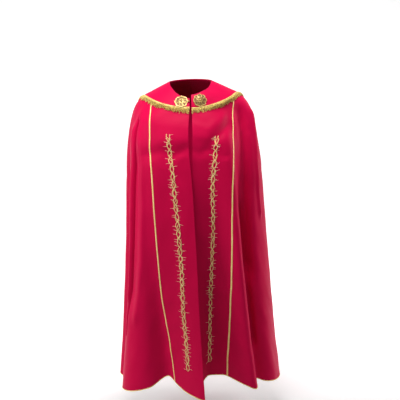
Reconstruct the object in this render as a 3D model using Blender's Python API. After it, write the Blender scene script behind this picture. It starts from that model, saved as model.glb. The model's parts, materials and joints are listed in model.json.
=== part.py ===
"""A cope: an ankle-length liturgical cloak of red cloth, open down the front, as it hangs from the shoulders.

Metres, +Z up. The front faces -Y and the wearer's right hand is on the -X side. The origin is the middle of
the shoulders, at the base of the neck. The cloth is one family of rings: `drop` is the way down the cloak's
side from the neck, and `way` is the angle round it, 0 at the front, 90 at the wearer's right arm, 180 at the
back. Each panel is cut out of those rings, and what lies on a panel is made from the panel's own points.
"""
import math
from collections import namedtuple

import bpy
import numpy as np

# Thicknesses and clearances.
WALL = 0.0016
GAP = 0.0003
BRAID_WIDTH, BRAID_THICK = 0.006, 0.001
CAPE_LIFT = 2 * GAP + BRAID_THICK          # the cape lies on the braids, over the panels
HEADER_LIFT = CAPE_LIFT + WALL + 0.0004    # the fringe's header lies on the cape
HEADER_THICK = 0.0015
PIPING, PIPING_GAP = 0.0034, 0.0008

# Lengths down the cloth.
SHOULDER_DROP, CHEST_DROP, WAIST_DROP, HEM_DROP = 0.205, 0.318, 0.650, 1.432
FOLDS_START, LIFT_START = 0.11, 0.75
HEADER_WIDTH, STRAND_LENGTH = 0.008, 0.019

# How the cloth is divided.
DROPS = np.linspace(0.0, HEM_DROP, 240)
WAYS = np.linspace(-15.0, 375.0, 1171)
FOLD_SOFTNESS = 3.0                        # degrees by which a fold's corner is rounded
FOLD_WANDER_POWER = 1.5                    # how late down the cloth a fold line leaves its way at the chest
NECK_DIP_POWER = 1.4                       # how gently the neckline dips from the shoulder
COLUMN_PITCH = 0.029                       # along the hem
LEAST_COLUMN = 4.0                         # degrees between neighbouring folds' columns
CAPE_ROWS, LOWER_ROWS, LOWER_ROW_POWER = 3, 13, 1.3
LEVEL_OF_COLUMN = 0.10                     # the drop at which a column's way sets its cape's depth

# One row for each section down the cloak: height at the front, side and back, half its width, its depth
# before and behind, how far its corners fill out, and where the two front edges hang (x).
Section = namedtuple("Section", "name drop z_front z_side z_back half_width front back corner lap_x under_x")
SECTIONS = (
    Section("neck", 0.000, -0.031, 0.036, 0.044, 0.0875, 0.092, 0.072, 0.000, -0.004, 0.002),
    Section("yoke", 0.075, -0.056, 0.004, 0.010, 0.155, 0.112, 0.105, 0.000, -0.005, 0.002),
    Section("shoulder", 0.147, -0.095, -0.031, -0.040, 0.218, 0.128, 0.135, 0.005, -0.008, 0.003),
    Section("upper_arm", 0.213, -0.150, -0.088, -0.100, 0.252, 0.152, 0.152, 0.012, -0.013, 0.003),
    Section("chest", 0.318, -0.235, -0.190, -0.200, 0.277, 0.168, 0.165, 0.020, -0.014, 0.000),
    Section("elbow", 0.459, -0.360, -0.330, -0.335, 0.294, 0.174, 0.172, 0.026, -0.0065, -0.005),
    Section("waist", 0.650, -0.535, -0.520, -0.525, 0.304, 0.179, 0.180, 0.028, -0.001, -0.013),
    Section("hip", 0.830, -0.710, -0.700, -0.705, 0.316, 0.185, 0.192, 0.028, 0.003, -0.016),
    Section("thigh", 1.030, -0.905, -0.900, -0.905, 0.330, 0.195, 0.210, 0.028, 0.005, -0.019),
    Section("knee", 1.230, -1.100, -1.100, -1.110, 0.345, 0.210, 0.232, 0.028, 0.010, -0.022),
    Section("hem", 1.432, -1.300, -1.322, -1.335, 0.368, 0.235, 0.262, 0.028, 0.017, -0.027),
)

# The wearer's left front stands up at the neck, over the right one's: by how much it rises and comes
# forward at the neck, and the drop where that has died out.
STAND_RISE, STAND_OUT, STAND_END = 0.014, 0.004, 0.130
STAND_START_WAY, STAND_FULL_WAY = 295.0, 335.0

# One row for each fold line: where it runs at the chest and at the hem (degrees), how far it stands out of
# the plain section at the shoulder, chest, waist and hem, and how far it lifts the hem (millimetres).
Fold = namedtuple("Fold", "name chest_way hem_way shoulder chest waist hem lift")
FOLDS = (
    Fold("lap_end", -12, -12, 3, 3, 12, 26, 0),
    Fold("lap_edge", -3, -3, 4, 3, 10, 17, 0),
    Fold("right_band", 10, 9, 5, 2, 4, -26, 14),
    Fold("right_seam", 24, 18, 3, -1, -8, -64, 40),
    Fold("right_valley", 38, 26, 0, -1, -9, -86, 72),
    Fold("right_front", 48, 39, -4, 2, 5, -34, 34),
    Fold("right_ridge", 56, 62, -7, -1, 7, 6, 12),
    Fold("right_turn", 64, 72, -9, -8, -10, 2, 8),
    Fold("right_ditch", 76, 83, -8, -14, -48, -54, 8),
    Fold("right_side", 94, 96, 0, 0, 3, 20, 22),
    Fold("right_back_dip", 114, 116, -2, -4, -26, -60, 16),
    Fold("right_back_out", 133, 133, 1, 2, 6, 16, 0),
    Fold("right_back_in", 152, 150, -2, -4, -28, -62, 12),
    Fold("right_spine", 168, 167, 1, 2, 6, 14, 0),
    Fold("centre_dip", 182, 183, -2, -4, -22, -50, 10),
    Fold("left_spine", 197, 199, 1, 2, 7, 16, 0),
    Fold("left_back_in", 212, 215, -2, -4, -28, -64, 14),
    Fold("left_back_out", 228, 231, 1, 2, 5, 14, 0),
    Fold("left_back_dip", 246, 247, -2, -4, -24, -56, 14),
    Fold("left_side", 266, 266, 2, 2, 6, 6, 0),
    Fold("left_rear", 280, 280, 4, -2, -8, -8, 4),
    Fold("left_flute", 296, 294, -12, -15, -30, -22, 14),
    Fold("left_flank", 308, 302, -26, -30, -48, -48, 18),
    Fold("left_ditch", 318, 310, -30, -34, -74, -94, 30),
    Fold("left_ridge", 327.5, 318, -15, -2, 9, -14, 15),
    Fold("left_front", 337, 326.5, -2, -1, -12, -52, 30),
    Fold("left_seam", 345.5, 341, 3, -3, -26, -112, 54),
    Fold("left_band", 354, 353, 3, -2, -20, -108, 54),
    Fold("under_edge", 361, 363, 2, -3, -14, -56, 10),
    Fold("under_end", 372, 374, 2, -3, -14, -30, 0),
)
BACK = 180.0

# One row for each stop round the cape, from the front edge to the middle of the back: how far down the
# header's top runs on each side.
CapeStop = namedtuple("CapeStop", "way right left")
CAPE_STOPS = (
    CapeStop(0, 0.094, 0.103),
    CapeStop(22, 0.098, 0.103),
    CapeStop(70, 0.108, 0.108),
    CapeStop(92, 0.124, 0.124),
    CapeStop(115, 0.168, 0.168),
    CapeStop(145, 0.240, 0.240),
    CapeStop(168, 0.281, 0.281),
    CapeStop(180, 0.285, 0.285),
)

# One row for each stop down the front bands: how wide each is there.
BandStop = namedtuple("BandStop", "drop right left")
BAND_STOPS = (
    BandStop(0.00, 0.105, 0.105),
    BandStop(0.09, 0.175, 0.189),
    BandStop(0.15, 0.169, 0.193),
    BandStop(0.22, 0.162, 0.190),
    BandStop(0.36, 0.162, 0.175),
    BandStop(0.50, 0.165, 0.167),
    BandStop(0.65, 0.167, 0.170),
    BandStop(1.00, 0.168, 0.172),
    BandStop(1.20, 0.166, 0.177),
)

# Distances from a band's front edge to its columns, at the band's full width. The vine lies on the middle
# three, which shift with it. The last columns are set by the braid.
BAND_WIDTH = 0.171
BAND_COLUMNS = (0.0, 0.030, 0.0635, 0.0855, 0.1075, 0.138)
VINE_COLUMN = 3                            # the band's middle

STRAND_PITCH = 0.0054
STRAND_TIP = 0.62                          # a strand's width at its end, of its width at the root

VINE_LIFT, VINE_THICK = 0.0008, 0.0012
VINE_LOOP = 0.0365                         # from one crossing of its two stems to the next
VINE_WIDE, VINE_NARROW, VINE_THORN = 0.010, 0.0045, 0.020
THORN_BASE, THORN_LEAN = 0.0035, 0.004
# How far a vine's middle lies from its band's, towards the seam, at each drop from its start to its end.
VineStop = namedtuple("VineStop", "drop aside")
VINE_STOPS = {
    "right": (VineStop(0.242, 0.002), VineStop(0.350, -0.004), VineStop(0.480, -0.005),
              VineStop(0.700, -0.0145), VineStop(1.050, -0.0125), VineStop(1.332, -0.0075)),
    "left": (VineStop(0.256, 0.007), VineStop(0.330, 0.004), VineStop(0.450, 0.001), VineStop(0.640, 0.005),
             VineStop(0.800, -0.002), VineStop(1.070, -0.005), VineStop(1.369, 0.010)),
}

ROSETTE_RADIUS, ROSETTE_PETALS = 0.0265, 8
ROSETTE_SIDES = 32
SCALLOP = 0.06                             # how far the petals stand out of the rim, of its radius
# One row for each of its rings, out from the cape: share of the radius, height, how much of the scallop it
# follows.
RosetteRing = namedtuple("RosetteRing", "share height scallop")
ROSETTE_PROFILE = (
    RosetteRing(0.97, 0.0000, 1.0),
    RosetteRing(1.00, 0.0012, 1.0),
    RosetteRing(0.93, 0.0030, 1.0),
    RosetteRing(0.66, 0.0022, 0.3),
    RosetteRing(0.46, 0.0046, 0.0),
    RosetteRing(0.22, 0.0068, 0.0),
)
ROSETTE_TOP = 0.0074                       # the height of its middle
# One row for each rosette: the way and drop of its middle on the cape.
Rosette = namedtuple("Rosette", "side way drop")
ROSETTES = (Rosette("right", 16.5, 0.051), Rosette("left", 344.8, 0.061))

HOOK_HEIGHT, HOOK_THICK = 0.0075, 0.0018
TONGUE_WIDTH, TONGUE_LENGTH = 0.0045, 0.020

CLOTH_RED = (0.55, 0.004, 0.055)
BAND_RED = (0.50, 0.004, 0.050)
GOLD = (0.72, 0.46, 0.14)
CLOTH_ROUGHNESS, BRAID_ROUGHNESS, BRAID_METALLIC = 0.5, 0.5, 0.4
CLASP_ROUGHNESS, CLASP_METALLIC = 0.3, 0.9


# ---- curves ------------------------------------------------------------------------------------------

def smooth(t):
    """From 0 to 1 with level ends."""
    t = np.clip(t, 0, 1)
    return t * t * (3 - 2 * t)


def curve(xs, ys, x):
    """The value at x of a smooth curve through the points (xs, ys) that never overshoots them."""
    xs, ys = np.asarray(xs, float), np.asarray(ys, float)
    steps = np.diff(xs)
    grades = np.diff(ys) / steps
    slopes = np.zeros_like(ys)
    slopes[0], slopes[-1] = grades[0], grades[-1]
    for i in range(1, len(xs) - 1):
        if grades[i - 1] * grades[i] > 0:
            ahead, behind = 2 * steps[i] + steps[i - 1], steps[i] + 2 * steps[i - 1]
            slopes[i] = (ahead + behind) / (ahead / grades[i - 1] + behind / grades[i])
    x = np.clip(x, xs[0], xs[-1])
    i = np.clip(np.searchsorted(xs, x, side="right") - 1, 0, len(xs) - 2)
    step = xs[i + 1] - xs[i]
    t = (x - xs[i]) / step
    return ((1 + 2 * t) * (1 - t) ** 2 * ys[i] + t * (1 - t) ** 2 * step * slopes[i]
            + t * t * (3 - 2 * t) * ys[i + 1] + t * t * (t - 1) * step * slopes[i + 1])


def soften(values, step):
    """The values with their corners rounded by a bell as wide as FOLD_SOFTNESS."""
    reach = int(3 * FOLD_SOFTNESS / step)
    bell = np.exp(-0.5 * (np.arange(-reach, reach + 1) * step / FOLD_SOFTNESS) ** 2)
    return np.convolve(np.pad(values, reach, mode="edge"), bell / bell.sum(), mode="valid")


def column_of(rows, name):
    return [getattr(row, name) for row in rows]


def at_drop(name, drop):
    """One of the sections' measures at this drop."""
    return curve(column_of(SECTIONS, "drop"), column_of(SECTIONS, name), drop)


# ---- the cloth as a surface --------------------------------------------------------------------------

def fold_way(fold, drop):
    """Where a fold line runs at this drop."""
    grown = np.clip((drop - CHEST_DROP) / (HEM_DROP - CHEST_DROP), 0, 1) ** FOLD_WANDER_POWER
    return fold.chest_way + (fold.hem_way - fold.chest_way) * grown


def ring(drop):
    """The cloth's outer line at this drop, a point for each of WAYS."""
    half, front, back = at_drop("half_width", drop), at_drop("front", drop), at_drop("back", drop)
    angle = np.radians(WAYS)
    depth = np.where(np.cos(angle) > 0, front, back)
    x, y = -half * np.sin(angle), -depth * np.cos(angle)
    out_x, out_y = x / half ** 2, y / depth ** 2
    length = np.hypot(out_x, out_y)
    before = np.clip(np.cos(angle), 0, 1) ** NECK_DIP_POWER
    behind = np.clip(-np.cos(angle), 0, 1) ** NECK_DIP_POWER
    z_side = at_drop("z_side", drop)
    z = z_side + (at_drop("z_front", drop) - z_side) * before + (at_drop("z_back", drop) - z_side) * behind

    stand = smooth((WAYS - STAND_START_WAY) / (STAND_FULL_WAY - STAND_START_WAY))
    stand = stand * (1 - smooth(drop / STAND_END))
    z = z + STAND_RISE * stand

    ways = [fold_way(fold, drop) for fold in FOLDS]
    levels = (FOLDS_START, SHOULDER_DROP, CHEST_DROP, WAIST_DROP, HEM_DROP)
    outs = [float(curve(levels, (0, f.shoulder, f.chest, f.waist, f.hem), drop)) / 1000 for f in FOLDS]
    lift = float(smooth((drop - LIFT_START) / (HEM_DROP - LIFT_START))) / 1000
    out = at_drop("corner", drop) * np.sin(2 * angle) ** 2 + STAND_OUT * stand
    out = out + soften(curve(ways, outs, WAYS), WAYS[1] - WAYS[0])
    z = z + curve(ways, [f.lift * lift for f in FOLDS], WAYS)
    return np.stack([x + out_x / length * out, y + out_y / length * out, z], axis=1)


def cloth_table():
    """The surface's points and outward normals, indexed by drop and way."""
    points = np.array([ring(drop) for drop in DROPS])
    down, round_ = np.gradient(points, axis=0), np.gradient(points, axis=1)
    normals = np.cross(round_, down)
    return points, normals / np.linalg.norm(normals, axis=2, keepdims=True)


POINTS, NORMALS = cloth_table()


def on_cloth(way, drop):
    """The point and the outward normal at this way and drop."""
    i = np.clip(drop / DROPS[1], 0, len(DROPS) - 1.001)
    j = np.clip((way - WAYS[0]) / (WAYS[1] - WAYS[0]), 0, len(WAYS) - 1.001)
    i0, j0 = int(i), int(j)
    u, v = i - i0, j - j0
    mixed = [(1 - u) * (1 - v) * table[i0, j0] + (1 - u) * v * table[i0, j0 + 1]
             + u * (1 - v) * table[i0 + 1, j0] + u * v * table[i0 + 1, j0 + 1] for table in (POINTS, NORMALS)]
    return mixed[0], mixed[1] / np.linalg.norm(mixed[1])


def edge_way(side, drop):
    """Where a front edge hangs: the wearer's right front laps over the left."""
    edge = -np.degrees(np.arcsin(at_drop("lap_x" if side == "right" else "under_x", drop)
                                 / at_drop("half_width", drop)))
    return edge if side == "right" else 360.0 + edge


def ways_from_edge(side, distance):
    """At each of DROPS, the way that lies this distance round the cloth from the front edge."""
    found = []
    for drop, line in zip(DROPS, POINTS):
        run = np.concatenate([[0], np.cumsum(np.linalg.norm(np.diff(line, axis=0), axis=1))])
        edge = np.interp(edge_way(side, drop), WAYS, run)
        reach = distance(drop)
        found.append(np.interp(edge + reach if side == "right" else edge - reach, run, WAYS))
    return np.array(found)


def band_width(side, drop):
    """The width of a front band, which narrows to the neck."""
    return float(curve(column_of(BAND_STOPS, "drop"), column_of(BAND_STOPS, side), drop))


def vine_aside(side, drop):
    """How far a vine's middle lies from its band's, towards the seam."""
    return float(curve(column_of(VINE_STOPS[side], "drop"), column_of(VINE_STOPS[side], "aside"), drop))


def band_reach(side, column, drop):
    """How far one of BAND_COLUMNS runs from the band's front edge."""
    aside = vine_aside(side, drop) if abs(column - VINE_COLUMN) <= 1 else 0.0
    return (BAND_COLUMNS[column] + aside) * band_width(side, drop) / BAND_WIDTH


# ---- the grid that all the pieces share --------------------------------------------------------------

def column_ways(side):
    """The ways of every column of one side at each of DROPS, from the front edge to the middle of the back.

    Returns an array [column, drop] and the index of the seam's column."""
    turn = 1 if side == "right" else -1
    scaled = [lambda drop, k=k: band_reach(side, k, drop) for k in range(len(BAND_COLUMNS))]
    braided = [lambda drop, d=d: band_width(side, drop) + d for d in (-BRAID_WIDTH / 2, 0, BRAID_WIDTH / 2)]
    columns = [ways_from_edge(side, distance) for distance in scaled + braided]
    seam = len(columns) - 2

    seam_ways, start = columns[seam], columns[-1]
    folds = [f for f in FOLDS if (f.hem_way - seam_ways[-1]) * turn > LEAST_COLUMN
             and (BACK - f.hem_way) * turn > LEAST_COLUMN]
    for i, fold in enumerate(folds[::turn], 1):
        line = np.array([fold_way(fold, drop) for drop in DROPS])
        least = seam_ways + turn * LEAST_COLUMN * i
        line = np.maximum(line, least) if side == "right" else np.minimum(line, least)
        columns += between(start, line)
        start = line
    columns += between(start, np.full(len(DROPS), BACK))
    return np.array(columns), seam


def between(start, end):
    """Columns at an even pitch after one column as far as the next one, both given by their ways."""
    hem = POINTS[-1]
    inside = (WAYS >= min(start[-1], end[-1])) & (WAYS <= max(start[-1], end[-1]))
    run = np.linalg.norm(np.diff(hem[inside], axis=0), axis=1).sum()
    count = max(1, round(run / COLUMN_PITCH))
    return [start + (end - start) * k / count for k in range(1, count + 1)]


def row_drops(side, ways):
    """The drops of one column's rows: the cape's, its header's two edges, the fringe's end, then the rest."""
    way = np.interp(LEVEL_OF_COLUMN, DROPS, ways)
    turned = way if side == "right" else 360 - way
    header = float(curve(column_of(CAPE_STOPS, "way"), column_of(CAPE_STOPS, side), turned))
    low, high = on_cloth(way, header + 0.01)[0], on_cloth(way, header)[0]
    drop_per_metre = 0.01 / np.linalg.norm(low - high)
    edge = header + HEADER_WIDTH * drop_per_metre
    tip = edge + STRAND_LENGTH * drop_per_metre
    cape = [header * k / CAPE_ROWS for k in range(CAPE_ROWS)]
    lower = [tip + (HEM_DROP - tip) * (k / LOWER_ROWS) ** LOWER_ROW_POWER for k in range(1, LOWER_ROWS + 1)]
    return cape + [header, edge, tip] + lower


HEADER_ROW, EDGE_ROW, TIP_ROW = CAPE_ROWS, CAPE_ROWS + 1, CAPE_ROWS + 2
Grid = namedtuple("Grid", "points normals drops seam")


def side_grid(side):
    """One side's points, normals and drops, indexed by row and column."""
    ways, seam = column_ways(side)
    drops = np.array([row_drops(side, line) for line in ways]).T
    points, normals = np.zeros(drops.shape + (3,)), np.zeros(drops.shape + (3,))
    for (row, column), drop in np.ndenumerate(drops):
        way = np.interp(drop, DROPS, ways[column])
        points[row, column], normals[row, column] = on_cloth(way, drop)
    return Grid(points, normals, drops, seam)


GRIDS = {side: side_grid(side) for side in ("right", "left")}


def all_round(field):
    """A field of both grids, joined at the back, from the wearer's right front edge to the left one."""
    right, left = getattr(GRIDS["right"], field), getattr(GRIDS["left"], field)
    return np.concatenate([right, left[:, -2::-1]], axis=1)


# ---- making solids -----------------------------------------------------------------------------------

def material(name, colour, roughness, metallic=0.0):
    made = bpy.data.materials.new(name)
    made.use_nodes = True
    shader = made.node_tree.nodes["Principled BSDF"]
    shader.inputs["Base Color"].default_value = (*colour, 1)
    shader.inputs["Roughness"].default_value = roughness
    shader.inputs["Metallic"].default_value = metallic
    made.diffuse_color = (*colour, 1)
    return made


def solid(name, vertices, faces, finish):
    """A mesh object with its faces turned outwards."""
    mesh = bpy.data.meshes.new(name)
    mesh.from_pydata([tuple(v) for v in vertices], [], faces)
    if signed_volume(np.asarray(vertices), faces) < 0:
        mesh.flip_normals()
    mesh.materials.append(finish)
    made = bpy.data.objects.new(name, mesh)
    bpy.context.collection.objects.link(made)
    return made


def signed_volume(vertices, faces):
    """Six times the volume that the triangles enclose, below zero where they face inwards."""
    corners = np.array([vertices[list(face)] for face in faces])
    return np.einsum("ij,ij->i", corners[:, 0], np.cross(corners[:, 1], corners[:, 2])).sum()


def wall(outer, inner):
    """Vertices and triangles of the solid between two grids of points of the same shape."""
    rows, columns = outer.shape[:2]
    count = rows * columns
    vertices = np.concatenate([outer.reshape(-1, 3), inner.reshape(-1, 3)])
    faces = []
    for row in range(rows - 1):
        for column in range(columns - 1):
            a = row * columns + column
            b, c, d = a + 1, a + columns + 1, a + columns
            faces += [(a, c, b), (a, d, c)]
            faces += [(count + a, count + b, count + c), (count + a, count + c, count + d)]
    rim = [*range(columns - 1)]
    rim += [row * columns + columns - 1 for row in range(rows - 1)]
    rim += [(rows - 1) * columns + column for column in range(columns - 1, 0, -1)]
    rim += [row * columns for row in range(rows - 1, 0, -1)]
    # Both sides of the rim are cut along the same diagonals, so two panels' edges fit at a seam.
    for a, b in zip(rim, rim[1:] + rim[:1]):
        if a < b:
            faces += [(a, b, count + b), (a, count + b, count + a)]
        else:
            faces += [(a, b, count + a), (b, count + b, count + a)]
    return vertices, faces


def drawn_in(points, at_start, at_end):
    """The grid with its first or last column drawn in by half a seam's gap."""
    points = points.copy()
    for wanted, column, inward in ((at_start, 0, 1), (at_end, -1, -2)):
        if wanted:
            along = points[:, inward] - points[:, column]
            points[:, column] += along / np.linalg.norm(along, axis=1, keepdims=True) * GAP / 2
    return points


def layer(name, points, normals, low, high, finish):
    """A solid whose two faces lie these heights over the grid."""
    return solid(name, *wall(points + normals * high, points + normals * low), finish)


# ---- the cloth's panels ------------------------------------------------------------------------------

def mantle(side, finish):
    """Half of the cloak's body, from the band's seam to the middle of the back."""
    grid = GRIDS[side]
    points = drawn_in(grid.points[:, grid.seam:], True, True)
    layer(f"mantle_{side}", points, grid.normals[:, grid.seam:], -WALL, 0, finish)


def front_band(side, finish):
    """The straight band down one front."""
    grid = GRIDS[side]
    points = drawn_in(grid.points[:, :grid.seam + 1], False, True)
    layer(f"front_band_{side}", points, grid.normals[:, :grid.seam + 1], -WALL, 0, finish)


def shoulder_cape(finish):
    """The cape over the shoulders, which deepens into a round hood at the back."""
    rows = slice(0, EDGE_ROW + 1)
    layer("shoulder_cape", all_round("points")[rows], all_round("normals")[rows],
          CAPE_LIFT, CAPE_LIFT + WALL, finish)


# ---- the trim ----------------------------------------------------------------------------------------

def band_braid(side, finish):
    """The braid over a band's seam."""
    grid = GRIDS[side]
    columns = slice(grid.seam - 1, grid.seam + 2)
    points, normals = grid.points[:, columns], grid.normals[:, columns]
    layer(f"band_braid_{side}", points, normals, GAP, GAP + BRAID_THICK, finish)


def hem_piping(finish):
    """The cord along the hem, just below the cloth's edge."""
    points, normals = all_round("points"), all_round("normals")
    steps = np.diff(points[-1], axis=0)
    square = []                            # square to the hem's step before each column and after it
    for along in (np.concatenate([steps[:1], steps]), np.concatenate([steps, steps[-1:]])):
        off = np.cross(along, normals[-1])
        square.append(off * -np.sign(off[:, 2:]) / np.linalg.norm(off, axis=1, keepdims=True))
    down = (square[0] + square[1]) / (1 + (square[0] * square[1]).sum(axis=1, keepdims=True))
    middle = points[-1] - normals[-1] * WALL / 2
    top, bottom = middle + down * PIPING_GAP, middle + down * (PIPING_GAP + PIPING)
    half = normals[-1] * PIPING / 2
    outer, inner = np.array([top + half, bottom + half]), np.array([top - half, bottom - half])
    solid("hem_piping", *wall(outer, inner), finish)


def zipper(upper, lower, faces):
    """Triangles between two lines of vertices, each a list of (place, index)."""
    i = j = 0
    while i < len(upper) - 1 or j < len(lower) - 1:
        if j < len(lower) - 1 and (i == len(upper) - 1 or lower[j + 1][0] <= upper[i + 1][0]):
            faces.append((upper[i][1], lower[j][1], lower[j + 1][1]))
            j += 1
        else:
            faces.append((upper[i][1], lower[j][1], upper[i + 1][1]))
            i += 1


def fringe(finish):
    """The cape's fringe: three-sided strands whose roots are fused into the header that backs them."""
    points, normals = all_round("points"), all_round("normals")
    top, edge, tip = points[HEADER_ROW], points[EDGE_ROW], points[TIP_ROW]
    top_n, edge_n, tip_n = normals[HEADER_ROW], normals[EDGE_ROW], normals[TIP_ROW]
    near, far = HEADER_LIFT, HEADER_LIFT + HEADER_THICK
    vertices, faces = [], []

    def add(point):
        vertices.append(point)
        return len(vertices) - 1

    def across(line, column, share):
        return line[column] if share == 0 else line[column] * (1 - share) + line[column + 1] * share

    last = len(top) - 1
    outer_top = [(c, add(top[c] + top_n[c] * far)) for c in range(last + 1)]
    inner_top = [(c, add(top[c] + top_n[c] * near)) for c in range(last + 1)]
    roots = []                             # (place, column, share) of each strand's first corner
    for column in range(last):
        count = max(1, round(np.linalg.norm(edge[column + 1] - edge[column]) / STRAND_PITCH))
        roots += [(column + k / count, column, k / count, 1 / count) for k in range(count)]
    outer_line = edge + edge_n * far
    inner_line = edge + edge_n * near
    tip_outer = tip + tip_n * (CAPE_LIFT + HEADER_THICK)
    tip_inner = tip + tip_n * CAPE_LIFT
    outer_edge = [(place, add(across(outer_line, column, share))) for place, column, share, _ in roots]
    outer_edge.append((last, add(outer_line[last])))
    inner_edge = [(0, add(inner_line[0]))]
    inner_edge += [(place + step / 2, add(across(inner_line, column, share + step / 2)))
                   for place, column, share, step in roots]
    inner_edge.append((last, add(inner_line[last])))

    zipper(outer_top, outer_edge, faces)
    back = []
    zipper(inner_top, inner_edge, back)
    faces += [face[::-1] for face in back]
    for c in range(last):
        (_, a), (_, b), (_, c0), (_, d) = outer_top[c], outer_top[c + 1], inner_top[c + 1], inner_top[c]
        faces += [(a, b, c0), (a, c0, d)]
    faces += [(outer_top[0][1], inner_top[0][1], inner_edge[0][1]),
              (outer_top[0][1], inner_edge[0][1], outer_edge[0][1])]
    faces += [(outer_top[last][1], inner_edge[-1][1], inner_top[last][1]),
              (outer_top[last][1], outer_edge[-1][1], inner_edge[-1][1])]

    # Under the header, each strand stands on the triangle of two outer corners and one inner corner.
    for k, (place, column, share, step) in enumerate(roots):
        first, second, inner = outer_edge[k][1], outer_edge[k + 1][1], inner_edge[k + 1][1]
        middle = share + step / 2
        half = step / 2 * STRAND_TIP
        ends = [add(across(tip_outer, column, middle - half)), add(across(tip_outer, column, middle + half)),
                add(across(tip_inner, column, middle))]
        root = [first, second, inner]
        for a in range(3):
            b = (a + 1) % 3
            faces += [(root[a], ends[a], ends[b]), (root[a], ends[b], root[b])]
        faces.append((ends[0], ends[2], ends[1]))
        faces.append((first, inner_edge[k][1], inner))
    faces.append((outer_edge[-1][1], inner_edge[-2][1], inner_edge[-1][1]))
    solid("fringe", vertices, faces, finish)


def on_band(side, across, drop, lift):
    """The point this far across the band from its middle, towards the seam, on the panel's own triangles."""
    grid = GRIDS[side]
    column = VINE_COLUMN if across >= 0 else VINE_COLUMN - 1
    drops = grid.drops[:, VINE_COLUMN]
    row = min(int(np.searchsorted(drops, drop, side="right")) - 1, len(drops) - 2)
    v = (drop - drops[row]) / (drops[row + 1] - drops[row])
    width = BAND_COLUMNS[column + 1] - BAND_COLUMNS[column]
    u = across / width if across >= 0 else 1 + across / width
    corners = [(row, column), (row, column + 1), (row + 1, column + 1), (row + 1, column)]
    shares = (1 - u, u - v, v, 0) if u >= v else (1 - v, 0, u, v - u)
    point = sum(share * grid.points[corner] for share, corner in zip(shares, corners))
    normal = sum(share * grid.normals[corner] for share, corner in zip(shares, corners))
    return point + normal / np.linalg.norm(normal) * lift


def thorn_vine(side, finish):
    """The raised vine down the middle of a band: two stems that cross at each narrow place, with thorns."""
    start, end = VINE_STOPS[side][0].drop, VINE_STOPS[side][-1].drop
    loops = round((end - start) / VINE_LOOP)
    loop = (end - start) / loops
    stations = []                          # (drop, half its width, whether a thorn starts here)
    for k in range(loops):
        top = start + k * loop
        stations += [(top, VINE_NARROW, False), (top + loop / 2 - THORN_BASE / 2, VINE_WIDE, True),
                     (top + loop / 2 + THORN_BASE / 2, VINE_WIDE, False)]
    stations.append((end, VINE_NARROW, False))

    flat, cells = [], []                   # (across, drop) points, and cells of their indexes
    for k, (drop, half, _) in enumerate(stations):
        flat += [(-half, drop), (half, drop)]
        if k:
            a = 2 * k - 2
            cells += [(a, a + 1, a + 3), (a, a + 3, a + 2)]
    for k, (drop, half, thorny) in enumerate(stations):
        if thorny:
            lean = THORN_LEAN * (1 if (k // 3) % 2 else -1)
            for hand in (-1, 1):
                flat.append((hand * VINE_THORN, drop + THORN_BASE / 2 + hand * lean))
                base = (2 * k, 2 * k + 2) if hand < 0 else (2 * k + 3, 2 * k + 1)
                cells.append((*base, len(flat) - 1))
    solid(f"thorn_vine_{side}", *plate(side, flat, cells), finish)


def plate(side, flat, cells):
    """A plate on the band over these triangles, each a triple of indexes of flat points."""
    count = len(flat)
    vertices = [on_band(side, across, drop, lift) for lift in (VINE_LIFT + VINE_THICK, VINE_LIFT)
                for across, drop in flat]
    faces = [cell for cell in cells] + [tuple(count + i for i in cell[::-1]) for cell in cells]
    edges = {(cell[i], cell[(i + 1) % 3]) for cell in cells for i in range(3)}
    for a, b in sorted(edges):
        if (b, a) not in edges:
            faces += [(b, a, count + a), (b, count + a, count + b)]
    return vertices, faces


# ---- the clasp ---------------------------------------------------------------------------------------

def cape_frame(way, drop):
    """A point on the cape's outer face, with directions across, up and out of it."""
    point, out = on_cloth(way, drop)
    point = point + out * (CAPE_LIFT + WALL)
    across = np.cross((0, 0, 1), out)
    across /= np.linalg.norm(across)
    return point, across, np.cross(out, across), out


def seat_height(point, out, radius):
    """How far out of the point a flat disc clears the cape, and the fringe's header, under it."""
    points, normals = all_round("points"), all_round("normals")
    cape = points[:EDGE_ROW + 1] + normals[:EDGE_ROW + 1] * (CAPE_LIFT + WALL)
    header = points[HEADER_ROW:TIP_ROW] + normals[HEADER_ROW:TIP_ROW] * (HEADER_LIFT + HEADER_THICK)
    apart = np.concatenate([cape.reshape(-1, 3), header.reshape(-1, 3)]) - point
    high = apart @ out
    beside = np.linalg.norm(apart - np.outer(high, out), axis=1) < radius * (1 + SCALLOP)
    return float(high[beside].max()) + GAP


def clasp_rosette(rosette, finish):
    """One round filigree boss of the clasp: a scalloped rim, a hollow ring and a raised middle."""
    point, across, up, out = cape_frame(rosette.way, rosette.drop)
    point = point + out * seat_height(point, out, ROSETTE_RADIUS)
    vertices, faces = [], []
    for share, height, scallop in ROSETTE_PROFILE:
        for k in range(ROSETTE_SIDES):
            angle = 2 * math.pi * k / ROSETTE_SIDES
            radius = ROSETTE_RADIUS * share * (1 + SCALLOP * scallop * math.cos(ROSETTE_PETALS * angle))
            vertices.append(point + across * radius * math.cos(angle) + up * radius * math.sin(angle)
                            + out * height)
    rings = len(ROSETTE_PROFILE)
    vertices += [point, point + out * ROSETTE_TOP]
    for k in range(ROSETTE_SIDES):
        following = (k + 1) % ROSETTE_SIDES
        for level in range(rings - 1):
            a, b = level * ROSETTE_SIDES + k, level * ROSETTE_SIDES + following
            c, d = b + ROSETTE_SIDES, a + ROSETTE_SIDES
            faces += [(a, b, c), (a, c, d)]
        top = (rings - 1) * ROSETTE_SIDES
        faces += [(following, k, len(vertices) - 2), (top + k, top + following, len(vertices) - 1)]
    solid(f"clasp_rosette_{rosette.side}", vertices, faces, finish)
    return point, out


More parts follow.
